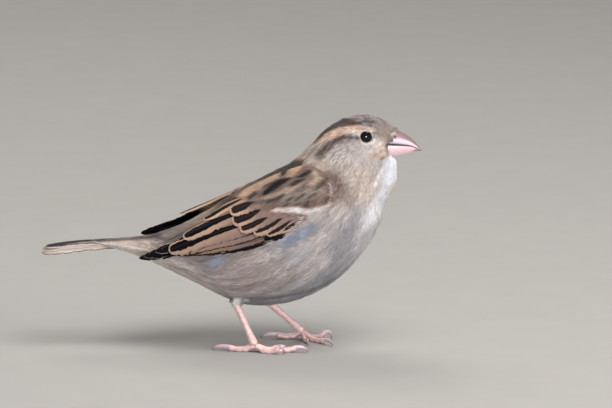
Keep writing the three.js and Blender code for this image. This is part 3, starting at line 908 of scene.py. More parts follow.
SHOULDER_MARKS = strokes(
    # rufous at the wrist, grey brown above the bar, a pale line under the black streak
    (((40, 64, 1.6), (38.4, 62, 1.8), (33.4, 60.2, 1.2)), (0.2, 0.125, 0.1), 0.8, 0.8),
    (((32, 62.1, 1.6), (25.7, 60.3, 1.8), (19.5, 58.6, 1.3)), (0.255, 0.205, 0.165), 0.9, 0.8),
    (((25.8, 64.2, 0.7), (21.4, 61.9, 0.9), (16.8, 59.9, 0.8), (11.9, 58.1, 0.6)), (0.4, 0.3, 0.225), 0.9,
     0.5),
    (((30.5, 67.7, 0.8), (32.1, 65.8, 0.9), (29.5, 64.4, 0.8)), (0.37, 0.28, 0.21), 0.9, 0.7),
    (((40.6, 64.6, 1), (40.8, 61.4, 1.2), (39.4, 58.6, 1)), (0.33, 0.265, 0.23), 0.8, 0.8),
    (((12, 57.5, 1.2), (4, 54.6, 1.4)), (0.3, 0.21, 0.16), 0.8, 0.8),
) + BACK_STREAKS + strokes(
    (((11, 61.6, 0.6), (6.8, 58.9, 0.7), (3.6, 56.8, 0.5)), (0.44, 0.31, 0.23), 0.9, 0.4),
    (((21.8, 65.3, 0.4), (18.3, 63.8, 0.85), (15.3, 62, 1), (12, 59.8, 0.55)), (0.008, 0.007, 0.009), 1,
     0.25),
    # dark centres
    (((9.6, 60.2, 0.45), (6.5, 58, 0.6)), BISTRE, 0.9, 0.35),
    (((26.6, 65.5, 0.45), (24.2, 64.4, 0.7), (22.2, 63.3, 0.45)), PITCH, 0.95, 0.4),
    (((29.4, 68, 0.35), (27.4, 67, 0.5), (25.2, 66.2, 0.3)), COAL, 1, 0.3),
    (((35, 65.5, 0.6), (33.4, 64.4, 0.8), (31.1, 62.6, 0.5)), (0.06, 0.043, 0.037), 0.85, 0.7),
    # a long dark line along the scapulars' lower edge: partly dark feather tips, partly painted shadow under
    # that edge
    (((19.5, 60.3, 0.4), (17.5, 59.1, 0.65), (13.1, 57.6, 0.65), (6.7, 56.4, 0.5), (1.7, 54.7, 0.4)),
     BISTRE, 0.85, 0.6),
    (((31, 61.4, 0.35), (28.4, 59.7, 0.5)), EARTH, 0.85, 0.6),
    (((26.9, 60.8, 0.35), (24, 58.9, 0.5)), EARTH, 0.85, 0.6),
    (((22.9, 59.8, 0.35), (20.2, 58.1, 0.5)), EARTH, 0.85, 0.6),
    (((38, 63.4, 0.4), (35.6, 61.4, 0.55)), (0.08, 0.055, 0.045), 0.8, 0.7),
    # the pale bar, whitest in three places, and the spots over it
    (((14.4, 54.6, 0.4), (16.8, 54.9, 0.8), (19.3, 55, 0.95), (22.3, 55.1, 1.25), (26, 54.7, 1.25),
     (29.6, 54.5, 1.5), (33, 55.4, 1.25), (37.5, 56.5, 1.1)), (0.64, 0.505, 0.43), 1, 0.4),
    (((21.6, 55.3, 0.7), (24, 55.4, 0.95), (25.6, 55, 0.6)), (0.8, 0.765, 0.74), 0.95, 0.5),
    (((27.6, 54.3, 0.7), (29.6, 54.2, 1.1), (31.8, 54.8, 0.7)), (0.78, 0.7, 0.63), 0.95, 0.5),
    (((33.2, 55.8, 0.7), (36.6, 56.5, 0.8)), (0.72, 0.61, 0.53), 0.9, 0.5),
    (((23.2, 56.8, 0.35), (25, 57.6, 0.4)), UMBER, 0.85, 0.5),
    (((20.9, 57.4, 0.3), (19.2, 56.4, 0.35)), UMBER, 0.85, 0.5),
    (((27.9, 58.2, 0.45), (27.5, 56.9, 0.65)), SOOT, 1, 0.4),
    (((35.3, 59.6, 0.45), (34.7, 57.8, 0.65)), SOOT, 1, 0.4),
)


@dataclass
class ShoulderPalette(Palette):
    """The scapulars and soft small coverts, their pale bar and the flank plumage over the wing's edge."""

    ground: Colour = (0.18, 0.12, 0.096)
    strokes: tuple[Stroke, ...] = SHOULDER_MARKS
    patchy: float = 0.16
    patch_size: float = 2.0


# The coat


def unwrap(p: Array, q: Array, margin: float = 0.02) -> Array:
    """Places on a skin's own unwrap: p runs along one axis and q, from -1 to 1, along the other."""
    return margin + (1 - 2 * margin) * np.stack([np.clip(p, 0, 1), 0.5 + 0.5 * np.clip(q, -1, 1)], -1)


@dataclass
class Growth:
    """What changes from one small feather to the next, as a number for each."""

    length: Array
    lift: Array
    streak: Array
    rim: Array
    sway: Array

    @staticmethod
    def even(count: int, lift: float = 0.0, streak: float = 0.0, rim: float = 0.0) -> "Growth":
        """The same for all, with no sway."""
        return Growth(np.ones(count), *(np.full(count, value) for value in (lift, streak, rim, 0.0)))

    def kept(self, keep: Array) -> "Growth":
        """Only the feathers where keep holds."""
        return Growth(*(values[keep] for values in vars(self).values()))


@dataclass
class Coat:
    """Small feathers over a form, each a fan of thin closed blades from one root.

    A blade leaves the feather's shaft, bends towards the side and ends at the feather's rounded rim. Its
    section is a flat triangle, its width swells and then tapers to a point, and it rises from the skin
    to the plumage's surface.
    """

    form: Form
    palette: Palette
    length: Sequence[float]
    spacing: Sequence[float]
    depth: Sequence[float]
    blade_width: Sequence[float]
    blades: int = 14
    rings: int = 2
    spread: float = 0.62
    ruffle: float = 0.07
    wander: float = 0.1
    uneven: float = 0.13
    own_place: float = 0.6
    shade: float = 0.6
    seed: int = 5

    def roots(self, first: float, last: float, low: float = -1.0, high: float = 1.0) -> tuple[Array, Array]:
        """Staggered rows of roots over the form, each row a spacing from the next.

        Args:
            first: Where along the form the rows start.
            last: Where they end.
            low: Where across the form a row starts.
            high: Where it ends.

        Returns:
            The p and q of each root, a little scattered.
        """
        chance = np.random.default_rng(self.seed)
        p_all, q_all = [], []
        p, row = first, 0
        ring = np.linspace(low, high, 97)
        while p < last:
            gap = float(spline(self.spacing, np.array(p)))
            loop = self.form.surface(np.full(97, p), ring)
            girth = float(np.linalg.norm(np.diff(loop, axis=0), axis=1).sum())
            count = max(6, round(girth / gap))
            share = (np.arange(count) + 0.5 * (row % 2) + chance.uniform(-0.35, 0.35, count)) / count
            q = mix(low, high, share)
            stretch = np.linalg.norm(self.form.slopes(np.full(count, p), q)[0], axis=-1)
            p_all.append(p + chance.uniform(-0.35, 0.35, count) * gap / stretch)
            q_all.append(q)
            p += gap / max(float(np.percentile(stretch, 70)), 1)
            row += 1
        return np.concatenate(p_all), np.concatenate(q_all)

    def grow(self, p: Array, q: Array, growth: Growth) -> Shape:
        """Grows a feather at each root.

        Args:
            p: Roots along the form.
            q: Roots round the form.
            growth: What changes from root to root.

        Returns:
            All the feathers as one closed shape, with their tints, patches and shading.
        """
        chance = np.random.default_rng(self.seed + 1)
        feathers, blades = len(p), self.blades
        length = spline(self.length, p) * growth.length * chance.uniform(0.85, 1.15, feathers)
        length = length[:, None, None]
        along, across, normal = self.form.slopes(p, q)
        sway = growth.sway + chance.normal(0, self.wander, feathers)
        lie = unit(unit(along) + unit(across) * sway[:, None])
        lateral = unit(np.cross(normal, lie))
        fan = np.linspace(-1, 1, blades)[None] + chance.uniform(-0.8, 0.8, (feathers, blades)) / blades
        fan = fan[..., None]
        reach = (1 - 0.34 * fan ** 2) * chance.uniform(0.8, 1.1, fan.shape)
        start = 0.28 * (1 - np.abs(fan)) * chance.uniform(0, 1, fan.shape)
        a = np.linspace(0, 1, self.rings + 1) ** 0.9
        forward = length * mix(start, reach, a)
        aside = length * self.spread / 2 * fan * np.sin(a * np.pi / 2)
        aside = aside + chance.normal(0, 0.04, fan.shape) * length * a
        offset = forward[..., None] * lie[:, None, None] + aside[..., None] * lateral[:, None, None]
        at_p, at_q = carried(along, across, offset, p, q)
        depth = spline(self.depth, p)[:, None, None]
        rise = 1 - (1 - a) ** 1.6
        stray = chance.normal(0, self.ruffle, fan.shape)
        stray = stray + chance.normal(0, self.ruffle, (feathers, 1, 1))
        lift = -depth * (1 - rise) + (growth.lift[:, None, None] + stray * depth) * rise - 0.18 * depth
        lift = lift + 0.08 * depth * (1 - fan ** 2) * a
        middle, up = self.form.lifted(at_p, at_q, lift)
        heading = unit(np.gradient(middle, axis=2))
        aside_way = unit(np.cross(up, heading))
        width = spline(self.blade_width, p)[:, None, None] * chance.uniform(0.7, 1.3, fan.shape)
        width = width * (0.55 + 0.45 * np.sin(a * np.pi * 0.8))
        half = (width / 2)[..., None] * aside_way
        thick = (0.3 * width)[..., None] * up
        ring = np.stack([middle - half, middle + half, middle + thick], 3)[:, :, :-1]
        tint = self.tints(at_p, at_q, fan, a, growth, chance)
        patch = unwrap(p, q)[:, None, None] + 0.003 * np.stack(
            [np.broadcast_to(a, lift.shape) - 0.5, 0.5 * fan + 0 * a], -1)
        facing = up + 0.25 * aside_way * fan[..., None]
        shading = np.stack([facing - 0.5 * aside_way, facing + 0.5 * aside_way, facing], 3)[:, :, :-1]
        return Shape(self.rows(ring, middle[:, :, -1]), self.blade_faces(feathers * blades),
                     {"Plume tint": self.ringed(tint)}, self.ringed(patch),
                     self.rows(shading, facing[:, :, -1])).outward()

    def blade_faces(self, count: int) -> list[Array]:
        """The faces of a number of blades: three long sides, a closed root and a pointed end."""
        side = np.array([[0, 1, 4, 3], [1, 2, 5, 4], [2, 0, 3, 5]])
        quads = np.concatenate([side + 3 * i for i in range(self.rings - 1)])
        end = 3 * self.rings
        top = end - 3
        tris = np.array([[0, 2, 1], [top, top + 1, end], [top + 1, top + 2, end], [top + 2, top, end]])
        first = (np.arange(count) * (end + 1))[:, None, None]
        return [(first + quads).reshape(-1, 4), (first + tris).reshape(-1, 3)]

    def rows(self, ring: Array, end: Array) -> Array:
        """Each blade's rings of three points and then its one end, row by row."""
        size = end.shape[-1]
        blade = np.concatenate([ring.reshape(-1, self.rings * 3, size), end.reshape(-1, 1, size)], 1)
        return blade.reshape(-1, size)

    def ringed(self, values: Array) -> Array:
        """Values along each blade, the same for the three points of a ring."""
        return self.rows(np.repeat(values[:, :, :-1], 3, axis=2), values[:, :, -1])

    def tints(self, p: Array, q: Array, fan: Array, a: Array, growth: Growth, chance: Any) -> Array:
        """Each blade's colour along it.

        It is the palette's colour between the place itself and the middle of the feather's shown part,
        darker at the downy base and paler at the rim, and no two blades are quite alike.
        """
        at_p, at_q = (mix(v[..., -1:].mean(1, keepdims=True), v, self.own_place) for v in (p, q))
        points = self.form.surface(at_p, at_q)
        base = self.palette.tint(points.reshape(-1, 3), at_p.ravel(), at_q.ravel()).reshape(*p.shape, 3)
        streak = growth.streak[:, None, None] * (1 - ramp(np.abs(fan), 0.1, 0.5)) * ramp(a, 0.1, 0.5)
        own = chance.normal(1, 0.045, (len(p), 1, 1)) * chance.normal(1, self.uneven, fan.shape)
        down = mix(self.shade, 1, ramp(a, 0.05, 0.7))
        rim = 1 + growth.rim[:, None, None] * ramp(a, 0.7, 1)
        return np.clip(base * (own * down * rim * (1 - streak))[..., None], 0, 1)


def carried(along: Array, across: Array, offset: Array, p: Array, q: Array) -> tuple[Array, Array]:
    """The parameters reached by an offset in the tangent plane, to first order.

    It solves the two slopes' least-squares equations for the steps in p and q.
    """
    extra = (1,) * (offset.ndim - along.ndim)
    along, across = (v.reshape(*v.shape[:-1], *extra, 3) for v in (along, across))
    aa, ab, bb = (along * along).sum(-1), (along * across).sum(-1), (across * across).sum(-1)
    ra, rb = (along * offset).sum(-1), (across * offset).sum(-1)
    det = np.maximum(aa * bb - ab * ab, 1e-6)
    return (p.reshape(*p.shape, *extra) + (ra * bb - rb * ab) / det,
            q.reshape(*q.shape, *extra) + (rb * aa - ra * ab) / det)


# Vanes


class Tip(Enum):
    """How a vane ends: the power of the place along it at which its width gives out."""

    ROUND = 6.0
    BROAD = 11.0


@dataclass(frozen=True)
class Vane:
    """The look of one kind of feather: its colours and the outline of its dark centre.

    core is the centre's half-width from root to tip, as shares of the vane's own, and lean moves it
    towards the upper web when negative. base is the edges' colour at the root. under gives the underside
    its own colours, from the wing's wrist to its tip, and shaft and quill are the shaft's place across the
    vane and the width at its root, as shares of its half-width.
    """

    centre: Colour
    edge: Colour
    base: Colour | None = None
    fringe: Colour | None = None
    under: tuple[Colour, ...] = ()
    fringe_width: float = 0.25
    fringe_from: float = 0.35
    core: Numbers = (0.8, 0.8, 0.8)
    lean: float = 0.0
    tip_margin: float = 1.0
    tip: Tip = Tip.ROUND
    shaft: float = 0.0
    quill: float = 0.35
    vary: float = 0.08


@dataclass(frozen=True)
class Row:
    """A row of overlapping vanes: where the first to the last are rooted and end, as p, q knots."""

    name: str
    count: int
    roots: tuple[Pair, ...]
    tips: tuple[Pair, ...]
    width: Numbers
    lift: Pair
    vane: Vane
    tilt: float = 0.0
    scatter: float = 0.0
    climb: float = 0.0


@dataclass
class Quills:
    """Builds rows of vanes on a form: thin closed plates, cambered, with a raised shaft and a worn edge."""

    form: Form
    along: int = 34
    across: int = 11
    thick: float = 0.13
    wear: float = 0.07
    seed: int = 3

    def build(self, row: Row, cell: tuple[int, int] = (0, 1)) -> Shape:
        """All the vanes of a row.

        Each runs straight in p, q from its root to its tip. Its half-width is the row's, opened from the
        quill as 1 - (1 - a) to the sixth and closed by the tip's power.

        Args:
            row: The row to build.
            cell: The row's place among all rows of its piece, for its patches: number and total.

        Returns:
            The vanes as one closed shape with what their finish reads.
        """
        chance = np.random.default_rng(self.seed + sum(map(ord, row.name)))
        count, vane = row.count, row.vane
        k = np.linspace(0, 1, count) if count > 1 else np.zeros(1)
        scatter = chance.normal(0, 1, (count, 2)) * row.scatter * np.array([0.012, 0.05])
        root, tip = spline(row.roots, k) + 0.5 * scatter, spline(row.tips, k) + scatter
        a = 1 - (1 - np.linspace(0, 1, self.along)[:, None]) ** 1.35
        c = np.linspace(-1, 1, self.across)
        path = mix(root[:, None], tip[:, None], a)
        p, q = path[..., 0], path[..., 1]
        slope_p, slope_q, normal = self.form.slopes(p, q)
        spine = self.form.surface(p, q)
        heading = unit(np.gradient(spine, axis=1))
        aside = unit(np.cross(normal, heading))
        aside = aside * np.sign((aside * slope_q).sum(-1, keepdims=True))
        steps = np.linalg.norm(np.diff(spine, axis=1), axis=-1)
        run = np.concatenate([np.zeros((count, 1)), np.cumsum(steps, 1)], 1)[..., None]
        open_up = mix(vane.quill, 1, 1 - (1 - a) ** 6)
        close = np.sqrt(np.maximum(1 - a ** vane.tip.value, 0))
        half = spline(row.width, k) / 2 * chance.uniform(1 - vane.vary, 1 + vane.vary, count)
        half = np.maximum(half[:, None, None] * (open_up * close), 0.02)
        worn = 1 + self.wear * chance.normal(0, 1, (count, self.along, 2)) * ramp(a, 0.2, 0.5)
        reach = np.where(c < 0, worn[..., :1], worn[..., 1:]) * c
        offset = (half * reach)[..., None] * aside[:, :, None]
        at_p, at_q = carried(slope_p, slope_q, offset, p, q)
        wide = half * c
        from_shaft = wide - vane.shaft * half
        lift = mix(*row.lift, ramp(a, 0, 0.8)) + row.climb * k[:, None, None]
        lift = lift + row.tilt * wide - 0.035 * wide ** 2
        lift = lift + 0.07 * np.exp(-(from_shaft / 0.22) ** 2) * (1 - 0.7 * a)
        lift = lift + chance.normal(0, 0.03, count)[:, None, None]
        middle, up = self.form.lifted(at_p, at_q, lift)
        body = up * (self.thick / 2 * (1 - 0.75 * c ** 4) * (1 - 0.6 * a ** 6))[..., None]
        points = np.stack([middle + body, middle - body], 1).reshape(count, -1, 3)
        first = (np.arange(count) * points.shape[1])[:, None, None]
        below = np.clip(spline(vane.under, p), 0, 1)[:, :, None] if vane.under else None
        values = {name: self.doubled(value, below if "tint" in name else None) for name, value in
                  self.known(row, a, c, half, wide, from_shaft, run, chance, cell[0]).items()}
        return Shape(points.reshape(-1, 3), [(first + self.plate_faces()).reshape(-1, 4)], values,
                     self.patches(count, a, c, cell)).outward()

    def known(self, row: Row, a: Array, c: Array, half: Array, wide: Array, from_shaft: Array, run: Array,
              chance: Any, number: int) -> dict[str, Array]:
        """What a vane's finish reads at each point: distances in millimetres, and tints.

        Core is how far a point lies inside the centre's outline, and Rim how far inside the vane's.
        """
        vane, count = row.vane, row.count
        to_tip = run[:, -1:] - run + 0 * c
        share = spline(vane.core, a) * chance.uniform(0.75, 1.2, (count, 1, 1))
        core = half * share - np.abs(wide - vane.lean * half)
        core = np.minimum(core, (to_tip - vane.tip_margin) * 0.8)
        rim = np.minimum((1 - np.abs(c)) * half, to_tip)
        rim = rim + 3 * (1 - ramp(a, vane.fringe_from, vane.fringe_from + 0.4))
        feather = np.broadcast_to((np.arange(count) + 13 * number)[:, None, None], core.shape)
        barb = np.stack([run - 0.9 * np.abs(from_shaft), from_shaft, feather], -1)
        own = chance.normal(1, 0.07, (count, 1, 1, 1)) * np.ones((*core.shape, 1))
        edge = dyed(vane.base or vane.edge, vane.edge, ramp(a, 0.35, 0.8)) * own
        fringe = np.array(vane.fringe or vane.edge) * np.ones((*core.shape, 1))
        rim = rim / (vane.fringe_width / 0.25) if vane.fringe else rim + 5
        centre = np.clip(np.array(vane.centre) * own, 0, 1)
        return {"Barb": barb, "Core": core, "Rim": rim, "Centre tint": centre,
                "Edge tint": np.clip(edge, 0, 1), "Fringe tint": fringe}

    @staticmethod
    def doubled(value: Array, below: Array | None) -> Array:
        """The same values for the top and the underside of each vane, unless the underside has its own."""
        two = np.stack([value, value if below is None else below + 0 * value], 1)
        return two.reshape(-1, value.shape[-1]) if value.ndim == 4 else two.reshape(-1)

    def plate_faces(self) -> Array:
        """Quads of a top grid, an underside grid and the rim between them."""
        rows, columns = self.along, self.across
        top = grid_quads(rows, columns)
        under = top[:, ::-1] + rows * columns
        r, c = np.arange(rows), np.arange(columns)
        out, far, back = r[1:] * columns + c[-1], r[-1] * columns + c[-2::-1], r[-2:0:-1] * columns
        loop = np.concatenate([c, out, far, back])
        after = np.roll(loop, -1)
        rim = np.stack([after, loop, loop + rows * columns, after + rows * columns], -1)
        return np.concatenate([top, under, rim])

    def patches(self, count: int, a: Array, c: Array, cell: tuple[int, int]) -> Array:
        """Each vane's patch: rows stand above each other, and a vane's two sides lie next to each other."""
        number, total = cell
        side = np.array([0.04, 0.52])[None, :, None, None]
        u = np.arange(count)[:, None, None, None] + side + 0.44 * (0.5 + 0.5 * c)
        v = number + 0.06 + 0.88 * a
        u, v = np.broadcast_arrays(u / max(count, 1), v / total)
        return np.stack([0.01 + 0.98 * u, 0.01 + 0.98 * v], -1).reshape(-1, 2)


# The bird

SKIN_SHADE = 0.6


@dataclass
class Thigh:
    """A feathered thigh that ends in a pale cuff round the top of the bare shin."""

    side: Side
    knee: Triple
    heel: Triple
    top: float = 6.4
    cuff: float = 1.95
    depth: Numbers = (0.9, 0.7, 0.4)
    palette: Palette = field(default_factory=lambda: Palette((0.38, 0.345, 0.325), strokes(
        (((1.8, 19, 1.3), (1.2, 17.6, 1.6)), (0.8, 0.7, 0.6), 0.9, 0.7),
        (((13, 15.8, 1.3), (12.4, 14.4, 1.6)), (0.8, 0.7, 0.6), 0.9, 0.7)), patchy=0.2))

    def form(self) -> LimbForm:
        """The thigh's surface, from within the body to just past the heel."""
        flip = np.array([1, self.side.value, 1])
        knee, heel = np.array(self.knee) * flip, np.array(self.heel) * flip
        middle = (knee + heel) / 2
        end = heel + (heel - middle) * 0.16
        return LimbForm(path=np.array([knee, middle, end]), radii=(self.top, self.top * 0.72, self.cuff))

    def skin(self) -> Shape:
        """The closed skin under the thigh's feathers."""
        form = self.form()
        p, q = lattice(np.linspace(0, 0.95, 24), once_round(28))
        points, faces = closed_rings(form.lifted(p, q, -spline(self.depth, p))[0])
        p, q = with_ends(p, q)
        tint = self.palette.tint(points, p, q) * SKIN_SHADE
        return Shape(points, faces, {"Plume tint": tint}, unwrap(p, q)).outward()

    def coat(self) -> Shape:
        """Short feathers down to the cuff, whose tips stand out round the shin."""
        coat = Coat(self.form(), self.palette, (3.6, 3, 1.7), (1.1, 0.9, 0.6), self.depth,
                    (0.26, 0.24, 0.16), blades=9, seed=41, ruffle=0.2)
        p, q = coat.roots(0.1, 0.97)
        return coat.grow(np.clip(p, 0, 0.97), q, Growth.even(len(p)))


@dataclass
class Body:
    """The skin with its two feathered thighs, and the coat of small feathers over them.

    head_coat and trunk_coat are a coat's blades, unevenness and shade, before head_end and past it.
    """

    form: BodyForm = field(default_factory=BodyForm)
    palette: Palette = field(default_factory=BodyPalette)
    depth: Numbers = (0.4, 0.5, 0.6, 0.7, 0.9, 1.1, 1.2, 1.3, 1.3, 1.3, 1.2, 1, 0.8, 0.5, 0.3)
    length: Numbers = (1, 1.4, 1.8, 2.3, 3.4, 5.2, 6.8, 7.6, 8.2, 8.4, 8.2, 7.8, 7, 6, 5)
    spacing: Numbers = (0.45, 0.52, 0.62, 0.74, 0.98, 1.22, 1.4, 1.5, 1.55, 1.55, 1.5, 1.45, 1.3, 1.2, 1.1)
    blade_width: Numbers = (
        0.1, 0.11, 0.13, 0.15, 0.19, 0.22, 0.24, 0.26, 0.26, 0.26, 0.26, 0.24, 0.22, 0.2, 0.18)
    rows: int = 190
    columns: int = 120
    piece_blades: int = 17000
    eye_room: float = 2.5
    head_end: float = 0.27
    head_coat: tuple[int, float, float] = (9, 0.05, 0.78)
    trunk_coat: tuple[int, float, float] = (14, 0.13, 0.68)

    def skin(self, thighs: Sequence[Thigh]) -> Shape:
        """The body inset by the coat's depth, and the thighs likewise, as one shape."""
        p, q = lattice(np.linspace(0, 1, self.rows), once_round(self.columns))
        points, faces = closed_rings(self.form.lifted(p, q, -spline(self.depth, p))[0])
        p, q = with_ends(p, q)
        tint = self.palette.tint(self.form.surface(p, q), p, q) * SKIN_SHADE
        whole = [Shape(points, faces, {"Plume tint": tint}, unwrap(p, q)).outward()]
        return Shape.joined(whole + [thigh.skin() for thigh in thighs])

    def coat(self, eye: "Eye", wings: Sequence["Wing"]) -> list[Shape]:
        """The coat in pieces of a bounded number of blades, from bill to tail."""
        coat = Coat(self.form, self.palette, self.length, self.spacing, self.depth, self.blade_width,
                    ruffle=0.09)
        p, q = coat.roots(0.002, 0.975)
        p = np.clip(p, 0, 0.98)
        points = self.form.surface(p, q)
        growth = self.growth(p, q, points, eye)
        gap = np.hypot(points[:, 0] - eye.centre[0], points[:, 2] - eye.centre[2])
        keep = (gap > self.eye_room) | (np.abs(points[:, 1]) < 4)
        for wing in wings:
            keep &= ~wing.covers(points)
        p, q, growth = p[keep], q[keep], growth.kept(keep)
        order = np.argsort(p, kind="stable")
        head = p[order] < self.head_end
        shapes = []
        for part, *settings in ((order[head], *self.head_coat), (order[~head], *self.trunk_coat)):
            coat.blades, coat.uneven, coat.shade = settings
            for chunk in np.array_split(part, math.ceil(len(part) * coat.blades / self.piece_blades)):
                coat.seed += 1
                shapes.append(coat.grow(p[chunk], q[chunk], growth.kept(chunk)))
        return shapes

    def growth(self, p: Array, q: Array, points: Array, eye: "Eye") -> Growth:
        """How the small feathers change over the body.

        Head and neck are streaked, mostly above, and the rest a little, with a pale rim. Those in front of
        the shoulder stand out over the wing's front. Length and lift vary more behind the head. Feathers
        that grow towards the eye are short enough to leave it bare.
        """
        growth = Growth.even(len(p))
        reach = np.abs(q)
        upper = 1 - ramp(reach, 0.3, 0.5)
        growth.streak = 0.5 * upper * ramp(p, 0.02, 0.1) * (1 - ramp(p, 0.3, 0.36))
        growth.streak += 0.12 * ramp(p, 0.2, 0.35)
        growth.rim = 0.05 * ramp(p, 0.25, 0.4)
        x, y, z = np.abs(points.T)
        shoulder = ramp(x, 35, 39.5) * (1 - ramp(x, 41.5, 46))
        shoulder = shoulder * ramp(z, 50, 55) * (1 - ramp(z, 66, 69))
        growth.lift = 2.2 * shoulder * ramp(y, 7, 10)
        raised = np.random.default_rng(17).normal(0, 1, len(p)) * (1 - ramp(p, 0.2, 0.3))
        growth.lift += 0.26 * np.abs(raised) * upper
        growth.length = np.clip(1 + 0.16 * raised, 0.7, 1.4)
        ahead, above = points[:, 0] - eye.centre[0], points[:, 2] - eye.centre[2]
        gap = np.hypot(ahead, above) - self.eye_room
        near = (np.abs(points[:, 1]) > 4) & (ahead > -0.5) & (np.abs(above) < 3)
        room = np.maximum(gap + 0.15, 0.3) / spline(self.length, p)
        growth.length = np.where(near, np.minimum(room, growth.length), growth.length)
        return growth


@dataclass
class Wing:
    """A folded wing: a dark core with rows of vanes laid over it, outermost last."""

    side: Side
    tip_lift: float = 0.0
    tuck: float = 0.0
    core_thick: float = 0.5
    palette: Palette = field(default_factory=ShoulderPalette)

    black: Colour = (0.003, 0.0026, 0.0035)
    dusk: Colour = (0.045, 0.032, 0.027)
    rufous: Colour = (0.245, 0.155, 0.11)
    buff: Colour = (0.34, 0.225, 0.16)
    cream: Colour = (0.56, 0.47, 0.4)
    brown: Colour = (0.18, 0.12, 0.1)
    flank: Colour = (0.36, 0.315, 0.29)
    # far paler than the feathers' own colour: painted light on the far wing's shaded undersides
    pale_under: Colour = (0.95, 0.7, 0.52)
    brown_under: Colour = (0.85, 0.64, 0.49)

    def form(self) -> WingForm:
        """The surface that the vanes lie on."""
        return WingForm(side=self.side, tip_lift=self.tip_lift, tuck=self.tuck)

    def flight(self) -> list[Row]:
        """Primaries, secondaries, tertials and alula, lowest first.

        On the left wing, a strip of which is seen over the back, the innermost tertial lies nearer the back.
        Its undersides are painted far paler than the feathers' own colour, as painted light on that shaded
        wing: pale buff on the tertials, and brown in front on the primaries.
        """
        primary = Vane(self.black, (0.05, 0.042, 0.04), fringe=(0.42, 0.38, 0.36), fringe_width=0.11,
                       core=(0.95, 0.95, 0.95), tip_margin=0.1, shaft=-0.4)
        # the secondaries' near-black fringe: painted shade between the overlapping feathers
        secondary = Vane(self.dusk, self.rufous, self.brown, fringe=(0.015, 0.01, 0.009), fringe_width=0.65,
                         fringe_from=-0.5, core=(0.5, 0.45, 0.4), lean=-0.45, tip_margin=0.5, shaft=-0.4,
                         vary=0.15)
        small = Vane(self.black, self.dusk, core=(0.9, 0.9), tip_margin=0.1)
        tertial = Vane(self.black, self.buff, self.rufous, fringe=self.cream, fringe_width=0.2,
                       fringe_from=0.6, core=(0.24, 0.32, 0.44, 0.6, 0.74, 0.76), lean=-0.12,
                       tip_margin=0.6, tip=Tip.BROAD, shaft=-0.1)
        inner = ((0.45, 0.2), (0.664, 0.1))
        if self.side is Side.LEFT:
            inner = ((0.45, 0.06), (0.79, -0.05))
            tertial = replace(tertial, lean=0.2, fringe_width=0.3, under=(self.pale_under,) * 2)
            primary = replace(primary, under=(self.brown_under,) * 14 + (self.black,) * 7)
        return [
            Row("primaries", 6, ((0.6, 0.8), (0.5, 0.55)),
                ((0.999, 0.62), (0.955, 0.44), (0.9, 0.36), (0.84, 0.4)),
                (4.2, 4.8), (-0.35, -0.1), primary, tilt=0.02, climb=0.35),
            Row("secondaries", 8, ((0.42, 1.02), (0.42, 0.75)), ((0.71, 0.99), (0.8, 0.86), (0.85, 0.66)),
                (4.4, 5), (0, 0.1), secondary, tilt=0.03, climb=0.3, scatter=0.2),
            # two narrow black vanes along the wing's lower edge: painted shade under the secondaries
            Row("lowest_secondaries", 2, ((0.42, 1.04), (0.43, 1.01)), ((0.62, 1.06), (0.7, 1.03)),
                (2.2, 2.4), (-0.1, 0), small),
            Row("tertials", 3, ((0.43, 0.68), (0.425, 0.46), inner[0]),
                ((0.842, 0.6), (0.766, 0.3), inner[1]),
                (5.9, 5.8, 5.2), (0.35, 0.55), tertial, tilt=0.04, climb=0.35),
            Row("alula", 2, ((0.36, 1), (0.37, 1.04)), ((0.468, 1), (0.44, 1.05)),
                (2.6, 2.2), (0.2, 0.35), small),
        ]

    def coverts(self) -> list[Row]:
        """Coverts and scapulars, lowest first."""
        greater = Vane((0.012, 0.008, 0.008), self.buff, self.brown, fringe=(0.42, 0.3, 0.22),
                       fringe_width=0.16, fringe_from=0.7, core=(-0.3, -0.2, 0.2, 0.5, 0.56, 0.5), lean=-0.1,
                       tip_margin=0.8, tip=Tip.BROAD, vary=0.1)
        lesser = Vane((0.12, 0.08, 0.065), (0.19, 0.125, 0.1), core=(0.6, 0.6), vary=0.2)
        return [
            Row("greater_coverts", 6,
                ((0.27, 0.94), (0.29, 0.89), (0.31, 0.82), (0.37, 0.72), (0.385, 0.58), (0.4, 0.4)),
                ((0.405, 0.97), (0.455, 0.94), (0.497, 0.85), (0.54, 0.73), (0.556, 0.54), (0.552, 0.33)),
                (4.2, 4.4, 4.8, 5.2, 6.2, 5.6), (0.5, 0.65), greater, tilt=0.05, climb=0.3),
            Row("median_coverts", 8, ((0.05, 0.8), (0.18, 0.66), (0.28, 0.4)),
                ((0.13, 0.92), (0.26, 0.8), (0.4, 0.58)),
                (5, 5.6), (0.35, 0.5), lesser, climb=0.1, scatter=0.4),
        ]

    def core(self) -> Shape:
        """A closed plate under the vanes, inside the wing's outline: brown in front and black behind."""
        form = self.form()
        top_edge = 0.06 if self.side is Side.RIGHT else 0.55
        p, q = lattice(np.linspace(0.06, 0.9, 60), np.linspace(top_edge, 0.95, 24))
        top, up = form.lifted(p, q, np.full_like(p, -0.3))
        under = top - up * self.core_thick
        points, faces = closed_rings(np.concatenate([top, under[:, ::-1]], 1))
        p, q = with_ends(np.concatenate([p, p], 1), np.concatenate([q, 2 - q[:, ::-1]], 1) - 1)
        tint = dyed(np.array(self.brown) * 0.7, self.black, ramp(p, 0.35, 0.5))
        return Shape(points, faces, {"Plume tint": tint}, unwrap(p, q)).outward()

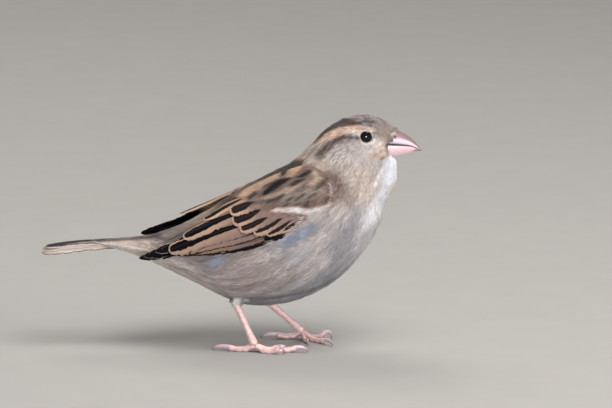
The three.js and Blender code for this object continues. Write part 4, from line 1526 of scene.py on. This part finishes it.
    def shoulder(self) -> Shape:
        """Scapulars and soft small feathers, from the back down to the pale bar."""
        form = self.form()
        coat = Coat(form, self.palette, (3, 4.2, 5.2, 5.6, 5.6), (0.8, 0.85, 0.9, 0.95, 1), (0.8, 0.9),
                    (0.19, 0.22), seed=71, ruffle=0.14, spread=0.42, own_place=0.95)
        p, q = coat.roots(0, 0.5, -0.3, 1)
        keep = q < np.interp(p + 0.045, (0, 0.14, 0.3, 0.39, 0.44, 0.475, 0.5, 0.53),
                             (1, 0.985, 0.87, 0.73, 0.57, 0.4, 0.12, -0.3))
        growth = Growth.even(len(p), streak=0.35, rim=0.25)
        growth.lift = mix(0.9, 1.3, ramp(p, 0.05, 0.3)) * ramp(q, -0.3, 0.05)
        growth.lift *= mix(0.4, 1, ramp(p, 0, 0.08))
        growth.sway = 0.04 + 0.1 * ramp(q, 0.3, 0)
        return coat.grow(p[keep], q[keep], growth.kept(keep))

    def overlap(self) -> Shape:
        """Flank feathers that lie over the wing's lower edge."""
        form = self.form()
        palette = Palette(self.flank, strokes(
            # bluish grey on these flank feathers: painted shade below the wing's edge
            (((30, 48.8, 1.4), (24.5, 45.8, 2.2), (19, 42.4, 1.8)), (0.22, 0.235, 0.3), 0.85, 0.9),
        ), patchy=0.16, patch_size=2.2)
        coat = Coat(form, palette, (5, 6.2, 6.4, 6.4, 6.4), (0.95, 1.05, 1.1, 1.1, 1.1), (0.8, 0.9),
                    (0.2, 0.24), rings=3, seed=81, ruffle=0.14)
        p, q = coat.roots(-0.04, 0.41, 0.9, 1.3)
        keep = q > np.interp(p, (-0.05, 0.05, 0.2, 0.3, 0.4, 0.5), (0.96, 0.98, 0.96, 0.99, 1.07, 1.14))
        growth = Growth.even(len(p), rim=0.2)
        growth.lift = mix(0.8, 0.1, ramp(p, 0.25, 0.41)) * mix(0.3, 1, ramp(p, -0.04, 0.06))
        growth.sway -= 0.14
        return coat.grow(p[keep], q[keep], growth.kept(keep))

    def build(self, bench: Workbench) -> None:
        """Makes the core, the vanes and the shoulder, which stand for the wing's three CAD pieces."""
        wing = f"wing_{self.side.word}_"
        quills = Quills(self.form())
        for name, rows, nodes in (("flight_feathers", self.flight(), ("secondaries", "primaries")),
                                  ("coverts_and_scapulars", self.coverts(), ("coverts",))):
            vanes = Shape.joined([quills.build(row, (i, len(rows))) for i, row in enumerate(rows)])
            bench.make(wing + name, vanes, WING_VANE, [wing + node for node in nodes])
        bench.make(wing + "shoulder_plumage", self.shoulder(), WING_PLUME)
        bench.make(wing + "flank_plumage", self.overlap(), PLUME)
        bench.make(wing + "core", self.core(), WING_PLUME)

    def covers(self, points: Array) -> Array:
        """Which points of the body lie under the wing, away from its edges."""
        form = self.form()
        p = np.linspace(0.1, 0.85, 60)
        high, low = form.surface(p, np.full(60, 0.12)), form.surface(p, np.full(60, 0.84))
        outline = np.concatenate([high, low[::-1]])[:, (0, 2)]
        mine = points[:, 1] * self.side.value > 4
        return mine & inside_outline(points[:, (0, 2)], outline)


def inside_outline(places: Array, outline: Array) -> Array:
    """Whether each place lies inside a closed outline, by counting the edges above it."""
    x, z = places[:, 0][:, None], places[:, 1][:, None]
    ax, az = outline[:, 0][None], outline[:, 1][None]
    bx, bz = np.roll(outline[:, 0], -1)[None], np.roll(outline[:, 1], -1)[None]
    crosses = (ax > x) != (bx > x)
    height = az + (x - ax) * (bz - az) / np.where(bx == ax, 1e-9, bx - ax)
    return (crosses & (z < height)).sum(1) % 2 == 1


@dataclass
class Tail:
    """The closed tail: twelve vanes stacked from the outermost pair up to the middle pair.

    cores are the outlines of the pairs' dark centres, in the same order.
    """

    top: Colour = (0.025, 0.02, 0.02)
    side: Colour = (0.26, 0.22, 0.19)
    edge: Colour = (0.42, 0.355, 0.3)
    # rim: a thin dark line along the outermost pair's edge, painted shade under its inner web
    rim: Colour = (0.11, 0.085, 0.075)
    cores: tuple[Numbers, ...] = (
        (0.4, 0.45, 0.7), (0.4, 0.45, 0.7), (0.3, 0.4, 0.7), (0.2, 0.3, 0.9), (0.2, 0.3, 0.9),
        (0.6, 0.65, 0.9, 1.2))

    def build(self, bench: Workbench) -> None:
        """Makes the tail feathers, which stand for the tail's CAD piece."""
        quills = Quills(TailForm())
        shapes = []
        for pair, core in enumerate(self.cores):
            out = (5 - pair) / 5
            centre = dyed(self.top, self.side, np.array(min(1, 1.6 * out)))
            edge = dyed(self.edge, self.top, np.array(0.6 * (pair == 5)))
            # the outermost pair's dark rim is painted shade along the tail's lower edge
            vane = Vane(tuple(centre), tuple(edge), core=core, tip_margin=0.2, tip=Tip.BROAD, quill=0.5,
                        fringe=self.rim if pair == 0 else None, fringe_width=0.4, fringe_from=-0.5)
            reach = float(mix(0.94, 1, out ** 0.7))
            lift = -0.6 + 0.27 * pair
            for side in (-1, 1):
                root, tip = (-0.06, side * 0.2 * out), (reach, side * (0.1 + 0.52 * out))
                row = Row(f"tail_{pair}_{side}", 1, (root, root), (tip, tip), (6.2 - 0.2 * pair,) * 2,
                          (lift - 0.1, lift), vane, tilt=-0.06 * side)
                shapes.append(quills.build(row, (2 * pair + (side > 0), 12)))
        bench.make("tail_feathers", Shape.joined(shapes), TAIL_VANE, ["tail"])


@dataclass
class Bill:
    """The two halves of the bill, each lofted between two outlines as x, z."""

    tip = 70.2
    culmen: tuple[Pair, ...] = ((56, 80.6), (60.8, 81.2), (64.3, 79.7), (67.7, 77), (70.3, 73.9))
    cutting: tuple[Pair, ...] = ((56, 76.8), (60.2, 76.4), (64.2, 76), (67.2, 75.3), (70.2, 73.6))
    gonys: tuple[Pair, ...] = ((56, 71.6), (59, 71.7), (62.3, 72), (65.3, 72.7), (68.8, 73.6))
    half: Numbers = (4.9, 4.2, 3.1, 1.8, 0.15)
    nostril: Triple = (60.5, 79.3, 0.6)
    pink: Colour = (0.42, 0.3, 0.33)
    # the band's colour: partly the horn's own mauve, partly painted highlight
    mauve: Colour = (0.54, 0.455, 0.535)
    # the culmen's own brown, also used as painted shade along the mouth line
    ridge_brown: Colour = (0.15, 0.085, 0.09)
    cream: Colour = (0.67, 0.455, 0.465)
    dark: Colour = (0.09, 0.05, 0.05)

    def mandible(self, low: Any, high: Any, widest: float, p: Array, q: Array) -> Array:
        """A surface between two outlines, widest at the share of its height that widest gives."""
        low, high = (np.moveaxis(spline(outline, p), -1, 0) for outline in (low, high))
        return egg(low, high, spline(self.half, p), widest, (0.8, 0.6) if widest < 0.5 else (0.6, 0.8), q)

    def build(self, bench: Workbench) -> None:
        """Makes both halves, with a nostril sunk into each side of the upper one."""
        p, q = lattice(np.linspace(0, 1, 70), once_round(56))
        rings = self.mandible(self.cutting, self.culmen, 0.16, p, q)
        x, z, r = self.nostril
        gap = np.linalg.norm(rings[..., (0, 2)] - np.array([x, z]), axis=-1) / r
        pit = 1 - ramp(gap, 0.3, 1.3)
        rings[..., 1] -= np.sign(rings[..., 1]) * pit * 0.25
        low, high = (spline(outline, p)[..., 1] for outline in (self.cutting, self.culmen))
        lift = (rings[..., 2] - low) / np.maximum(high - low, 0.1)
        # a pale mauve band along the middle of the upper half: partly the horn's own mauve, partly painted
        # highlight
        band = ramp(lift, 0.12, 0.3) * (1 - ramp(lift, 0.42, 0.6))
        brown = np.maximum(0.9 * ramp(lift, 0.46, 0.76), 0.85 * ramp(p, 0.84, 0.98))
        # darker along the lower edge of the upper half, most at the gape: painted shade along the mouth line
        brown = np.maximum(brown, mix(0.5, 0.2, ramp(p, 0.3, 0.6)) * ramp(lift, 0.12, 0.02))
        brown = np.maximum(brown, 0.8 * (1 - ramp(p, 0.3, 0.45)) * ramp(lift, 0.2, 0.05))
        tint = dyed(dyed(self.pink, self.mauve, 0.8 * band), self.ridge_brown, brown)
        # the nostril's pit darkened: painted shade inside the hole
        tint = dyed(tint, np.array(self.dark) * 0.4, pit)
        self.finish(bench, "upper_bill", rings, tint, UPPER_HORN, "bill_upper")
        lowered = tuple((x, z - 0.03) for x, z in self.cutting)
        rings = self.mandible(self.gonys, lowered, 0.8, p, q)
        height = spline(lowered, p)[..., 1] - rings[..., 2]
        tint = dyed(self.cream, self.dark, 0.8 * ramp(p, 0.76, 0.95))
        # darker along the top edge of the lower half: painted shade along the mouth line
        tint = dyed(tint, self.ridge_brown, 0.35 * ramp(height, 0.4, 0.05))
        self.finish(bench, "lower_bill", rings, tint, LOWER_HORN, "bill_lower")
        self.tufts(bench)

    def tufts(self, bench: Workbench) -> None:
        """Small feathers that point forward over the base of the upper half and half hide the nostrils."""
        form = TuftForm(bill=self)
        palette = Palette((0.22, 0.175, 0.155), strokes(
            (((61, 79.6, 0.4), (59.8, 78.2, 0.45), (58.6, 76.8, 0.5)), (0.05, 0.035, 0.03), 0.9, 0.6),
            (((60.6, 80.6, 0.35), (59.4, 80.2, 0.35)), (0.56, 0.47, 0.41), 0.85, 0.7),
        ), patchy=0.2, patch_size=0.9)
        coat = Coat(form, palette, (1.5, 1.3), (0.36, 0.4), (0.25, 0.2), (0.09, 0.09), blades=7, seed=95,
                    ruffle=0.3, spread=0.5)
        p, q = coat.roots(0, 0.3, -0.47, 0.47)
        bench.make("nasal_tufts", coat.grow(p, q, Growth.even(len(p), lift=0.15)), HEAD_PLUME)

    @staticmethod
    def finish(bench: Workbench, name: str, rings: Array, tint: Array, finish: Finish, node: str) -> None:
        """Closes the rings and makes the piece that stands for a node."""
        shape = Shape(*closed_rings(rings), {"Horn tint": with_end_colours(tint)})
        bench.make(name, shape.outward(), finish, [node])


@dataclass
class TuftForm(Form):
    """From the front of the head, at p 0, on to the upper bill, at p 1; q is that of the head's sections.

    It runs straight between the two and bulges by 4 p (1 - p) times the bulge.
    """

    bill: Bill = field(default_factory=Bill)
    bulge: float = 0.25
    turn: float = 1.0

    def surface(self, p: Array, q: Array) -> Array:
        """A point between the head and the bill."""
        head = BodyForm().surface(0.035 + 0 * (p + q), q + 0 * p)
        reach = 0.4 - 0.42 * np.abs(q + 0 * p)
        turn = np.clip(2.1 * q + 0 * p, -1, 1)
        horn = self.bill.mandible(self.bill.cutting, self.bill.culmen, 0.16, reach, turn)
        point = mix(head, horn, (p + 0 * q)[..., None])
        middle = np.array([58, 0, 77])
        return point + unit(point - middle) * (self.bulge * 4 * p * (1 - p) + 0 * q)[..., None]


@dataclass
class RimForm(Form):
    """The plumage round an eye: p runs outward from the lid and q round it.

    Its distance from the bird's middle plane is a second-order surface of x and z, fitted by least
    squares to the body's own surface near the eye.
    """

    side: Side = Side.RIGHT
    centre: Triple = (0, 0, 0)
    inner: float = 2.38
    outer: float = 3.7

    def __post_init__(self) -> None:
        """Fits the surface."""
        self.turn = -float(self.side.value)
        p, q = lattice(np.linspace(0.02, 0.25, 70), np.linspace(0.1, 0.7, 90))
        near = BodyForm().surface(p.ravel(), q.ravel())
        x, z = near[:, 0] - self.centre[0], near[:, 2] - self.centre[2]
        close = np.hypot(x, z) < self.outer + 0.8
        self.fit = np.linalg.lstsq(self.terms(x[close], z[close]), near[close, 1], rcond=None)[0]

    @staticmethod
    def terms(x: Array, z: Array) -> Array:
        """The powers of x and z up to the second."""
        return np.stack([1 + 0 * x, x, z, x * x, x * z, z * z], -1)

    def surface(self, p: Array, q: Array) -> Array:
        """A circle round the eye's centre, laid on the fitted surface."""
        reach = mix(self.inner, self.outer, p)
        x, z = reach * np.cos(np.pi * q), reach * np.sin(np.pi * q)
        y = self.terms(x, z) @ self.fit
        return np.stack([self.centre[0] + x, self.side.value * y, self.centre[2] + z], -1)


@dataclass
class Eye:
    """A wet dark ball in a ring of lid and pale short feathers, on either side of the head."""

    centre: Triple = (49.8, 6.35, 80.4)
    radius: float = 4.2
    opening: float = 2.25
    wall: float = 2.42
    lid: float = 0.12
    out: float = -1.28
    droop: float = 0.35
    depth: float = 1.5
    pupil: Colour = (0.003, 0.003, 0.003)
    iris: Colour = (0.006, 0.0035, 0.0025)
    lid_tint: Colour = (0.34, 0.26, 0.21)

    def build(self, bench: Workbench) -> None:
        """Makes each ball and its lid."""
        for side in Side:
            middle = (np.array(self.centre) + np.array([0, self.out, 0])) * np.array([1, side.value, 1])
            self.ball(bench, side, middle)
            self.lids(bench, side, middle)
            self.rim(bench, side)

    def rim(self, bench: Workbench, side: Side) -> None:
        """Short feathers that stand round the lid, peach above and whitish below."""
        form = RimForm(side=side, centre=self.centre)
        palette = Palette((0.6, 0.53, 0.48), strokes(
            (((46.6, 81.6, 0.6), (48.6, 83.6, 0.7)), (0.62, 0.5, 0.43), 0.9, 0.8),
            (((50.6, 83.8, 0.7), (52.2, 82.8, 0.5)), (0.6, 0.5, 0.45), 0.9, 0.8),
            (((52.8, 81.6, 0.6), (53, 80.2, 0.7), (52.4, 78.8, 0.5)), (0.27, 0.22, 0.205), 0.95, 0.7),
            (((47.6, 77.6, 0.7), (49.6, 77.2, 0.8), (51.6, 77.8, 0.6)), (0.84, 0.77, 0.7), 0.95, 0.7),
            (((46.8, 81.6, 0.5), (47.1, 82.2, 0.5)), (0.84, 0.74, 0.67), 0.95, 0.6),
            (((46.9, 79.9, 0.5), (46.8, 79, 0.5)), (0.2, 0.155, 0.15), 0.95, 0.6),
        ), patchy=0.2, patch_size=0.8)
        coat = Coat(form, palette, (0.8, 0.85), (0.32, 0.38), (0.3, 0.3), (0.08, 0.09), blades=7,
                    seed=91, ruffle=0.25, spread=0.7)
        p, q = coat.roots(0, 0.2)
        growth = Growth.even(len(p), lift=0.12)
        growth.sway = 0.9 * np.sin(np.pi * q)
        bench.make(f"eye_rim_{side.word}", coat.grow(p, q, growth), HEAD_PLUME)

    def dome(self, side: Side, reach: Array, turn: Array) -> Array:
        """Points of the cornea, a part of a ball whose middle lies a little lower than the opening's."""
        x, z = reach * np.cos(turn), reach * np.sin(turn)
        return np.stack([x, side.value * np.sqrt(self.radius ** 2 - x ** 2 - (z + self.droop) ** 2), z], -1)

    def ball(self, bench: Workbench, side: Side, middle: Array) -> None:
        """A thick lens with a flat back: black in the middle and brown round it."""
        share, turn = lattice(np.linspace(0.01, 1, 45), once_round(64, 0, 2 * np.pi))
        reach = self.wall * share
        front = self.dome(side, reach, turn)
        back = front[::-1] * np.array([1, 0, 1]) + np.array([0, side.value * self.depth, 0])
        tint = dyed(self.pupil, self.iris, ramp(reach, 1.2, 1.4))
        tint = dyed(tint, self.lid_tint, ramp(reach, self.opening, self.opening + 0.05))
        values = {"Horn tint": with_end_colours(np.concatenate([tint, tint[::-1]]))}
        shape = Shape(*closed_rings(middle + np.concatenate([front, back])), values)
        bench.make(f"eye_ball_{side.word}", shape.outward(), EYE_GLOSS, [f"eye_{side.word}"])

    def lids(self, bench: Workbench, side: Side, middle: Array) -> None:
        """A ring of skin on the ball, a little pointed before and behind, thickest above."""
        turns, sides = 72, 16
        turn, around = lattice(once_round(turns, 0, 2 * np.pi), once_round(sides, 0, 2 * np.pi))
        path = self.dome(side, self.opening * (1 + 0.03 * np.cos(2 * turn)), turn)
        radial = unit(path + np.array([0, 0, self.droop]))
        spread = np.stack([np.cos(turn), 0 * turn, np.sin(turn)], -1)
        tangent = unit(spread - radial * (spread * radial).sum(-1, keepdims=True))
        size = self.lid * (1 + 0.25 * np.sin(turn) + 0.06 * np.sin(18 * turn))
        swell = 1.25 * tangent * np.cos(around)[..., None] + 0.8 * radial * np.sin(around)[..., None]
        points = (middle + path + 0.02 * radial + size[..., None] * swell).reshape(-1, 3)
        quads = grid_quads(turns + 1, sides, wrap=True) % len(points)
        shape = Shape(points, [quads], {"Horn tint": np.broadcast_to(np.array(self.lid_tint), points.shape)})
        bench.make(f"eyelid_{side.word}", shape.outward(), LID_SKIN)


@dataclass(frozen=True)
class Toe:
    """A toe: its turn from straight ahead to the left in degrees, length, arch, claw and thickness."""

    name: str
    yaw: float
    length: float
    arch: float
    claw: float
    radius: float


@dataclass
class Leg:
    """A bare scaled shin with four toes and their claws, standing flat on the ground.

    scutes is their number down the shin and scute the length of one on a toe.
    """

    side: Side
    heel: Triple
    foot: Triple
    toes: tuple[Toe, ...]
    shin: float = 1.14
    joint: float = 1.5
    ball: float = 1.7
    press: float = 0.16
    scutes: int = 8
    scute: float = 0.95
    tint: Colour = (0.66, 0.425, 0.39)
    pad_tint: Colour = (0.62, 0.4, 0.38)
    seam_tint: Colour = (0.36, 0.2, 0.18)
    claw_tint: Colour = (0.52, 0.38, 0.4)
    claw_tip: Colour = (0.2, 0.13, 0.13)

    def mirrored(self, place: Sequence[float]) -> Array:
        """A place on this leg's own side."""
        return np.array(place) * np.array([1, self.side.value, 1])

    def tube(self, path: Array, radii: Sequence[float], rings: int, sides: int, swell: Any,
             flat: float = 1.0) -> tuple[Array, Array, Array]:
        """Rings along a path.

        Each ring lies in the plane across the path. Its radius follows radii, closed at both ends as the
        square root of 1 - t to the 14th, times what swell gives for the place along and the turn.

        Args:
            path: The middle line's knots.
            radii: Radii from start to end.
            rings: Number of rings.
            sides: Points in a ring.
            swell: Function of place along and turn, where turn 0 is the top.
            flat: The ring's breadth as a share of its height.

        Returns:
            The rings, the place along and the turn of each point.
        """
        t = (1 - np.cos(np.pi * np.linspace(0, 1, rings))) / 2
        t = 0.25 * t + 0.75 * np.linspace(0, 1, rings)
        along, turn = lattice(t, once_round(sides, 0, 2 * np.pi))
        middle = spline(path, along)
        heading = unit(spline(path, along + STEP) - spline(path, along - STEP))
        across = unit(np.cross(heading, np.array([0, 0, 1])))
        upward = np.cross(across, heading)
        closing = np.sqrt(np.maximum(1 - np.abs(2 * along - 1) ** 14, 0))
        size = (spline(radii, along) * closing * swell(along, turn))[..., None]
        circle = upward * np.cos(turn)[..., None] + flat * across * np.sin(turn)[..., None]
        return middle + size * circle, along, turn

    def toe_path(self, toe: Toe) -> Array:
        """From the ball of the foot down to the pads and up over the last joint."""
        yaw = math.radians(toe.yaw)
        x, y, z = self.mirrored(self.foot)
        rest = toe.radius - self.press
        heights = (z, rest + 0.3, rest, rest + 0.15 * toe.arch, rest + toe.arch)
        return np.array([
            [x + math.cos(yaw) * toe.length * reach, y + math.sin(yaw) * toe.length * reach, height]
            for reach, height in zip((0, 0.3, 0.52, 0.78, 1), heights)])

    def build(self, bench: Workbench) -> None:
        """Makes the foot's skin and its claws, which stand for the leg's CAD pieces."""
        word = self.side.word
        ends = [f"{word}_{toe.name}" for toe in self.toes]
        skin = [self.shin_shape()] + [self.toe_shape(toe) for toe in self.toes]
        claws = [self.claw_shape(toe) for toe in self.toes]
        bench.make(f"scaled_foot_{word}", Shape.joined(skin), LEG_SKIN,
                   [f"tarsus_{word}"] + [f"toe_{end}" for end in ends])
        bench.make(f"claws_{word}", Shape.joined(claws), CLAW_HORN, [f"claw_{end}" for end in ends])

    def closed(self, rings: Array, tint: Array) -> Shape:
        """Closes rings into a shape that rests on the ground."""
        points, faces = closed_rings(rings)
        points[:, 2] = np.maximum(points[:, 2], 0)
        return Shape(points, faces, {"Horn tint": with_end_colours(tint)}).outward()

    def shin_shape(self) -> Shape:
        """The shin, with large scutes down its front and a ridge behind."""
        heel, foot = self.mirrored(self.heel), self.mirrored(self.foot)
        path = np.array([heel, (heel + foot) / 2, foot])

        def swell(along: Array, turn: Array) -> Array:
            front = ramp(np.cos(turn), -0.2, 0.5)
            step = (along * self.scutes) % 1
            return 1 + front * (0.07 * step - 0.04) + 0.06 * ramp(-np.cos(turn), 0.7, 1)

        rings, along, turn = self.tube(path, (self.joint, self.shin, self.shin, self.ball), 130, 36, swell)
        step = (along * self.scutes) % 1
        seam = (1 - ramp(np.abs(step - 0.02), 0.02, 0.09)) * ramp(np.cos(turn), -0.2, 0.4)
        tint = dyed(self.tint, self.seam_tint, 0.6 * seam)
        edge = 0.4 * ramp(np.abs(np.cos(turn - 0.5)), 0.93, 1)
        return self.closed(rings, dyed(tint, self.seam_tint, edge))

    def toe_shape(self, toe: Toe) -> Shape:
        """A toe with scutes above and rounded pads below, between its joints."""
        pads = toe.length / 2.9

        def swell(along: Array, turn: Array) -> Array:
            above = ramp(np.cos(turn), 0, 0.6)
            below = ramp(-np.cos(turn), -0.2, 0.6)
            step = (along * toe.length / self.scute) % 1
            return 1 + above * (0.09 * step - 0.05) + below * 0.14 * np.cos(2 * np.pi * along * pads)

        radii = tuple(toe.radius * share for share in (1.2, 1, 1.05, 0.94, 1, 0.84))
        rings, along, turn = self.tube(self.toe_path(toe), radii, 90, 26, swell, 0.92)
        step = (along * toe.length / self.scute) % 1
        seam = (1 - ramp(np.abs(step - 0.02), 0.04, 0.16)) * ramp(np.cos(turn), 0, 0.5)
        tint = dyed(self.tint, self.pad_tint, ramp(-np.cos(turn), -0.2, 0.6))
        return self.closed(rings, dyed(tint, self.seam_tint, 0.55 * seam))

    def claw_shape(self, toe: Toe) -> Shape:
        """A claw that springs from the toe's end and hooks down to the ground, deeper than wide."""
        yaw = math.radians(toe.yaw)
        x, y, z = self.toe_path(toe)[-1]
        out = np.array([-0.6, 0, 0.45, 0.85, 1]) * toe.claw + np.array([0, 0.3, 0.3, 0.3, 0.3])
        heights = np.array([z - 0.1, z + 0.05, z, z * 0.6, 0.1])
        path = np.stack([x + math.cos(yaw) * out, y + math.sin(yaw) * out, heights], -1)
        radii = tuple(share * toe.radius for share in (0.5, 0.72, 0.6, 0.4, 0.1))
        rings, along, _ = self.tube(path, radii, 40, 18, lambda t, _: 1 + 0 * t, 0.72)
        return self.closed(rings, dyed(self.claw_tint, self.claw_tip, ramp(along, 0.45, 0.95)))


# The studio


def face(thing: bpy.types.Object, way: Array) -> None:
    """Turns a lamp or camera to look along a way."""
    thing.rotation_mode = "QUATERNION"
    thing.rotation_quaternion = Vector(way).to_track_quat("-Z", "Y")


@dataclass
class Studio:
    """A pale floor, soft lamps and a long lens that looks a little down."""

    aim: Triple = (27.6, 0, 53.5)
    elevation: float = 11.0
    distance: float = 3000.0
    frame_width: float = 226.4
    sensor: float = 36.0
    floor_size: float = 4000.0
    floor_tint: Colour = (0.275, 0.263, 0.246)
    sky_tint: Colour = (0.82, 0.86, 0.92)
    sky_strength: float = 0.27

    def build(self, bench: Workbench) -> None:
        """Makes the floor, the lamps, the sky and the camera."""
        self.floor()
        aim = (np.array(self.aim) + bench.shift) * METRES
        self.lamp("key", aim, (260, -380, 960), 740, 17.5, (1, 0.975, 0.955))
        self.lamp("front", aim, (950, -420, 260), 500, 7, (1, 0.985, 0.97))
        self.lamp("catch", aim, (20, -1700, 120), 250, 17, (0.82, 0.89, 1))
        self.lamp("back", aim, (-300, 700, 900), 600, 7, (1, 0.98, 0.95))
        world = bpy.data.worlds.new("sky")
        bpy.context.scene.world = world
        world.use_nodes = True
        sky = world.node_tree.nodes["Background"].inputs
        Socketed(world.node_tree).feed(sky, {"Color": self.sky_tint, "Strength": self.sky_strength})
        self.camera(aim)

    def floor(self) -> None:
        """A wide flat slab with its top at the ground."""
        half, deep = self.floor_size / 2, 20
        x, y = np.array([-1, 1, 1, -1]) * half, np.array([-1, -1, 1, 1]) * half
        rings = np.stack([np.stack([x, y, np.full(4, z)], -1) for z in (-deep, 0)])
        points = rings.reshape(-1, 3) * METRES
        faces = [[3, 2, 1, 0], [4, 5, 6, 7]] + [[i, (i + 1) % 4, 4 + (i + 1) % 4, 4 + i] for i in range(4)]
        mesh = bpy.data.meshes.new("floor")
        mesh.from_pydata(points.tolist(), [], faces)
        material = bpy.data.materials.new("pale_floor")
        material.use_nodes = True
        wires = Socketed(material.node_tree)
        feeds = {"Colour": self.floor_tint, "Amount": 0.03, "Scale": 60}
        mottled = wires.shared("Mottle", mottle_group, feeds)
        shader = material.node_tree.nodes["Principled BSDF"].inputs
        wires.feed(shader, {"Base Color": mottled["Colour"], "Roughness": 0.85})
        mesh.materials.append(material)
        floor = bpy.data.objects.new("floor", mesh)
        placed(floor)

    @staticmethod
    def lamp(name: str, aim: Array, offset: Triple, size: float, power: float, colour: Colour) -> None:
        """A square lamp that faces the aim from an offset."""
        light = bpy.data.lights.new(name, "AREA")
        light.size, light.energy, light.color = size * METRES, power, colour
        lamp = bpy.data.objects.new(name, light)
        lamp.visible_camera = False
        place = aim + np.array(offset) * METRES
        lamp.location = place
        face(lamp, aim - place)
        placed(lamp)

    def camera(self, aim: Array) -> None:
        """A camera on the bird's right that looks along +Y and a little down."""
        data = bpy.data.cameras.new("camera")
        data.sensor_width = self.sensor
        data.lens = self.sensor * self.distance / self.frame_width
        data.clip_start, data.clip_end = 0.1, 30
        camera = bpy.data.objects.new("camera", data)
        tilt = math.radians(self.elevation)
        back = np.array([0, -math.cos(tilt), math.sin(tilt)])
        camera.location = aim + back * self.distance * METRES
        face(camera, -back)
        placed(camera)
        bpy.context.scene.camera = camera


def legs() -> tuple[Leg, Leg]:
    """The right leg, behind, and the left leg, a stride ahead."""
    right = Leg(Side.RIGHT, (1.4, 10, 18.6), (8.7, 12, 2.6), (
        Toe("hallux", 167, 10.4, 0.7, 5.8, 1.1), Toe("inner", 24, 9.2, 0.7, 3.6, 0.9),
        Toe("middle", -3, 15.6, 1.2, 3.6, 1.02), Toe("outer", -25, 10.2, 2.1, 1.5, 0.92)))
    left = Leg(Side.LEFT, (12.6, 9.5, 15.4), (26.3, 12, 2.8), (
        Toe("hallux", 180, 9.8, 0.8, 5.6, 1.1), Toe("inner", -80, 9.2, 0.7, 3.6, 0.9),
        Toe("middle", -51, 13.6, 0.9, 4, 1.02), Toe("outer", -3, 8.6, 2.1, 2, 0.92)))
    return right, left


def main() -> None:
    """Builds the sparrow and the studio."""
    logging.basicConfig(level=logging.INFO, format="%(name)s %(message)s")
    bpy.context.scene.view_settings.view_transform = "Standard"
    bench = Workbench.from_frame()
    Studio().build(bench)
    wings = [Wing(Side.RIGHT), Wing(Side.LEFT, tip_lift=2.4, tuck=4.0)]
    thighs = [Thigh(Side.RIGHT, (10.5, 8.4, 27.5), (1.4, 10, 18.6)),
              Thigh(Side.LEFT, (20.5, 8.2, 24.5), (12.6, 9.5, 15.4))]
    eye = Eye()
    body = Body()
    bench.make("skin", body.skin(thighs), SKIN, ["head", "neck", "trunk", "thigh_right", "thigh_left"])
    for number, shape in enumerate(body.coat(eye, wings)):
        bench.make(f"coat_{number:02d}", shape, PLUME)
    for thigh in thighs:
        bench.make(f"thigh_coat_{thigh.side.word}", thigh.coat(), PLUME)
    for wing in wings:
        wing.build(bench)
    Tail().build(bench)
    Bill().build(bench)
    eye.build(bench)
    for leg in legs():
        leg.build(bench)


if __name__ == "__main__":
    main()
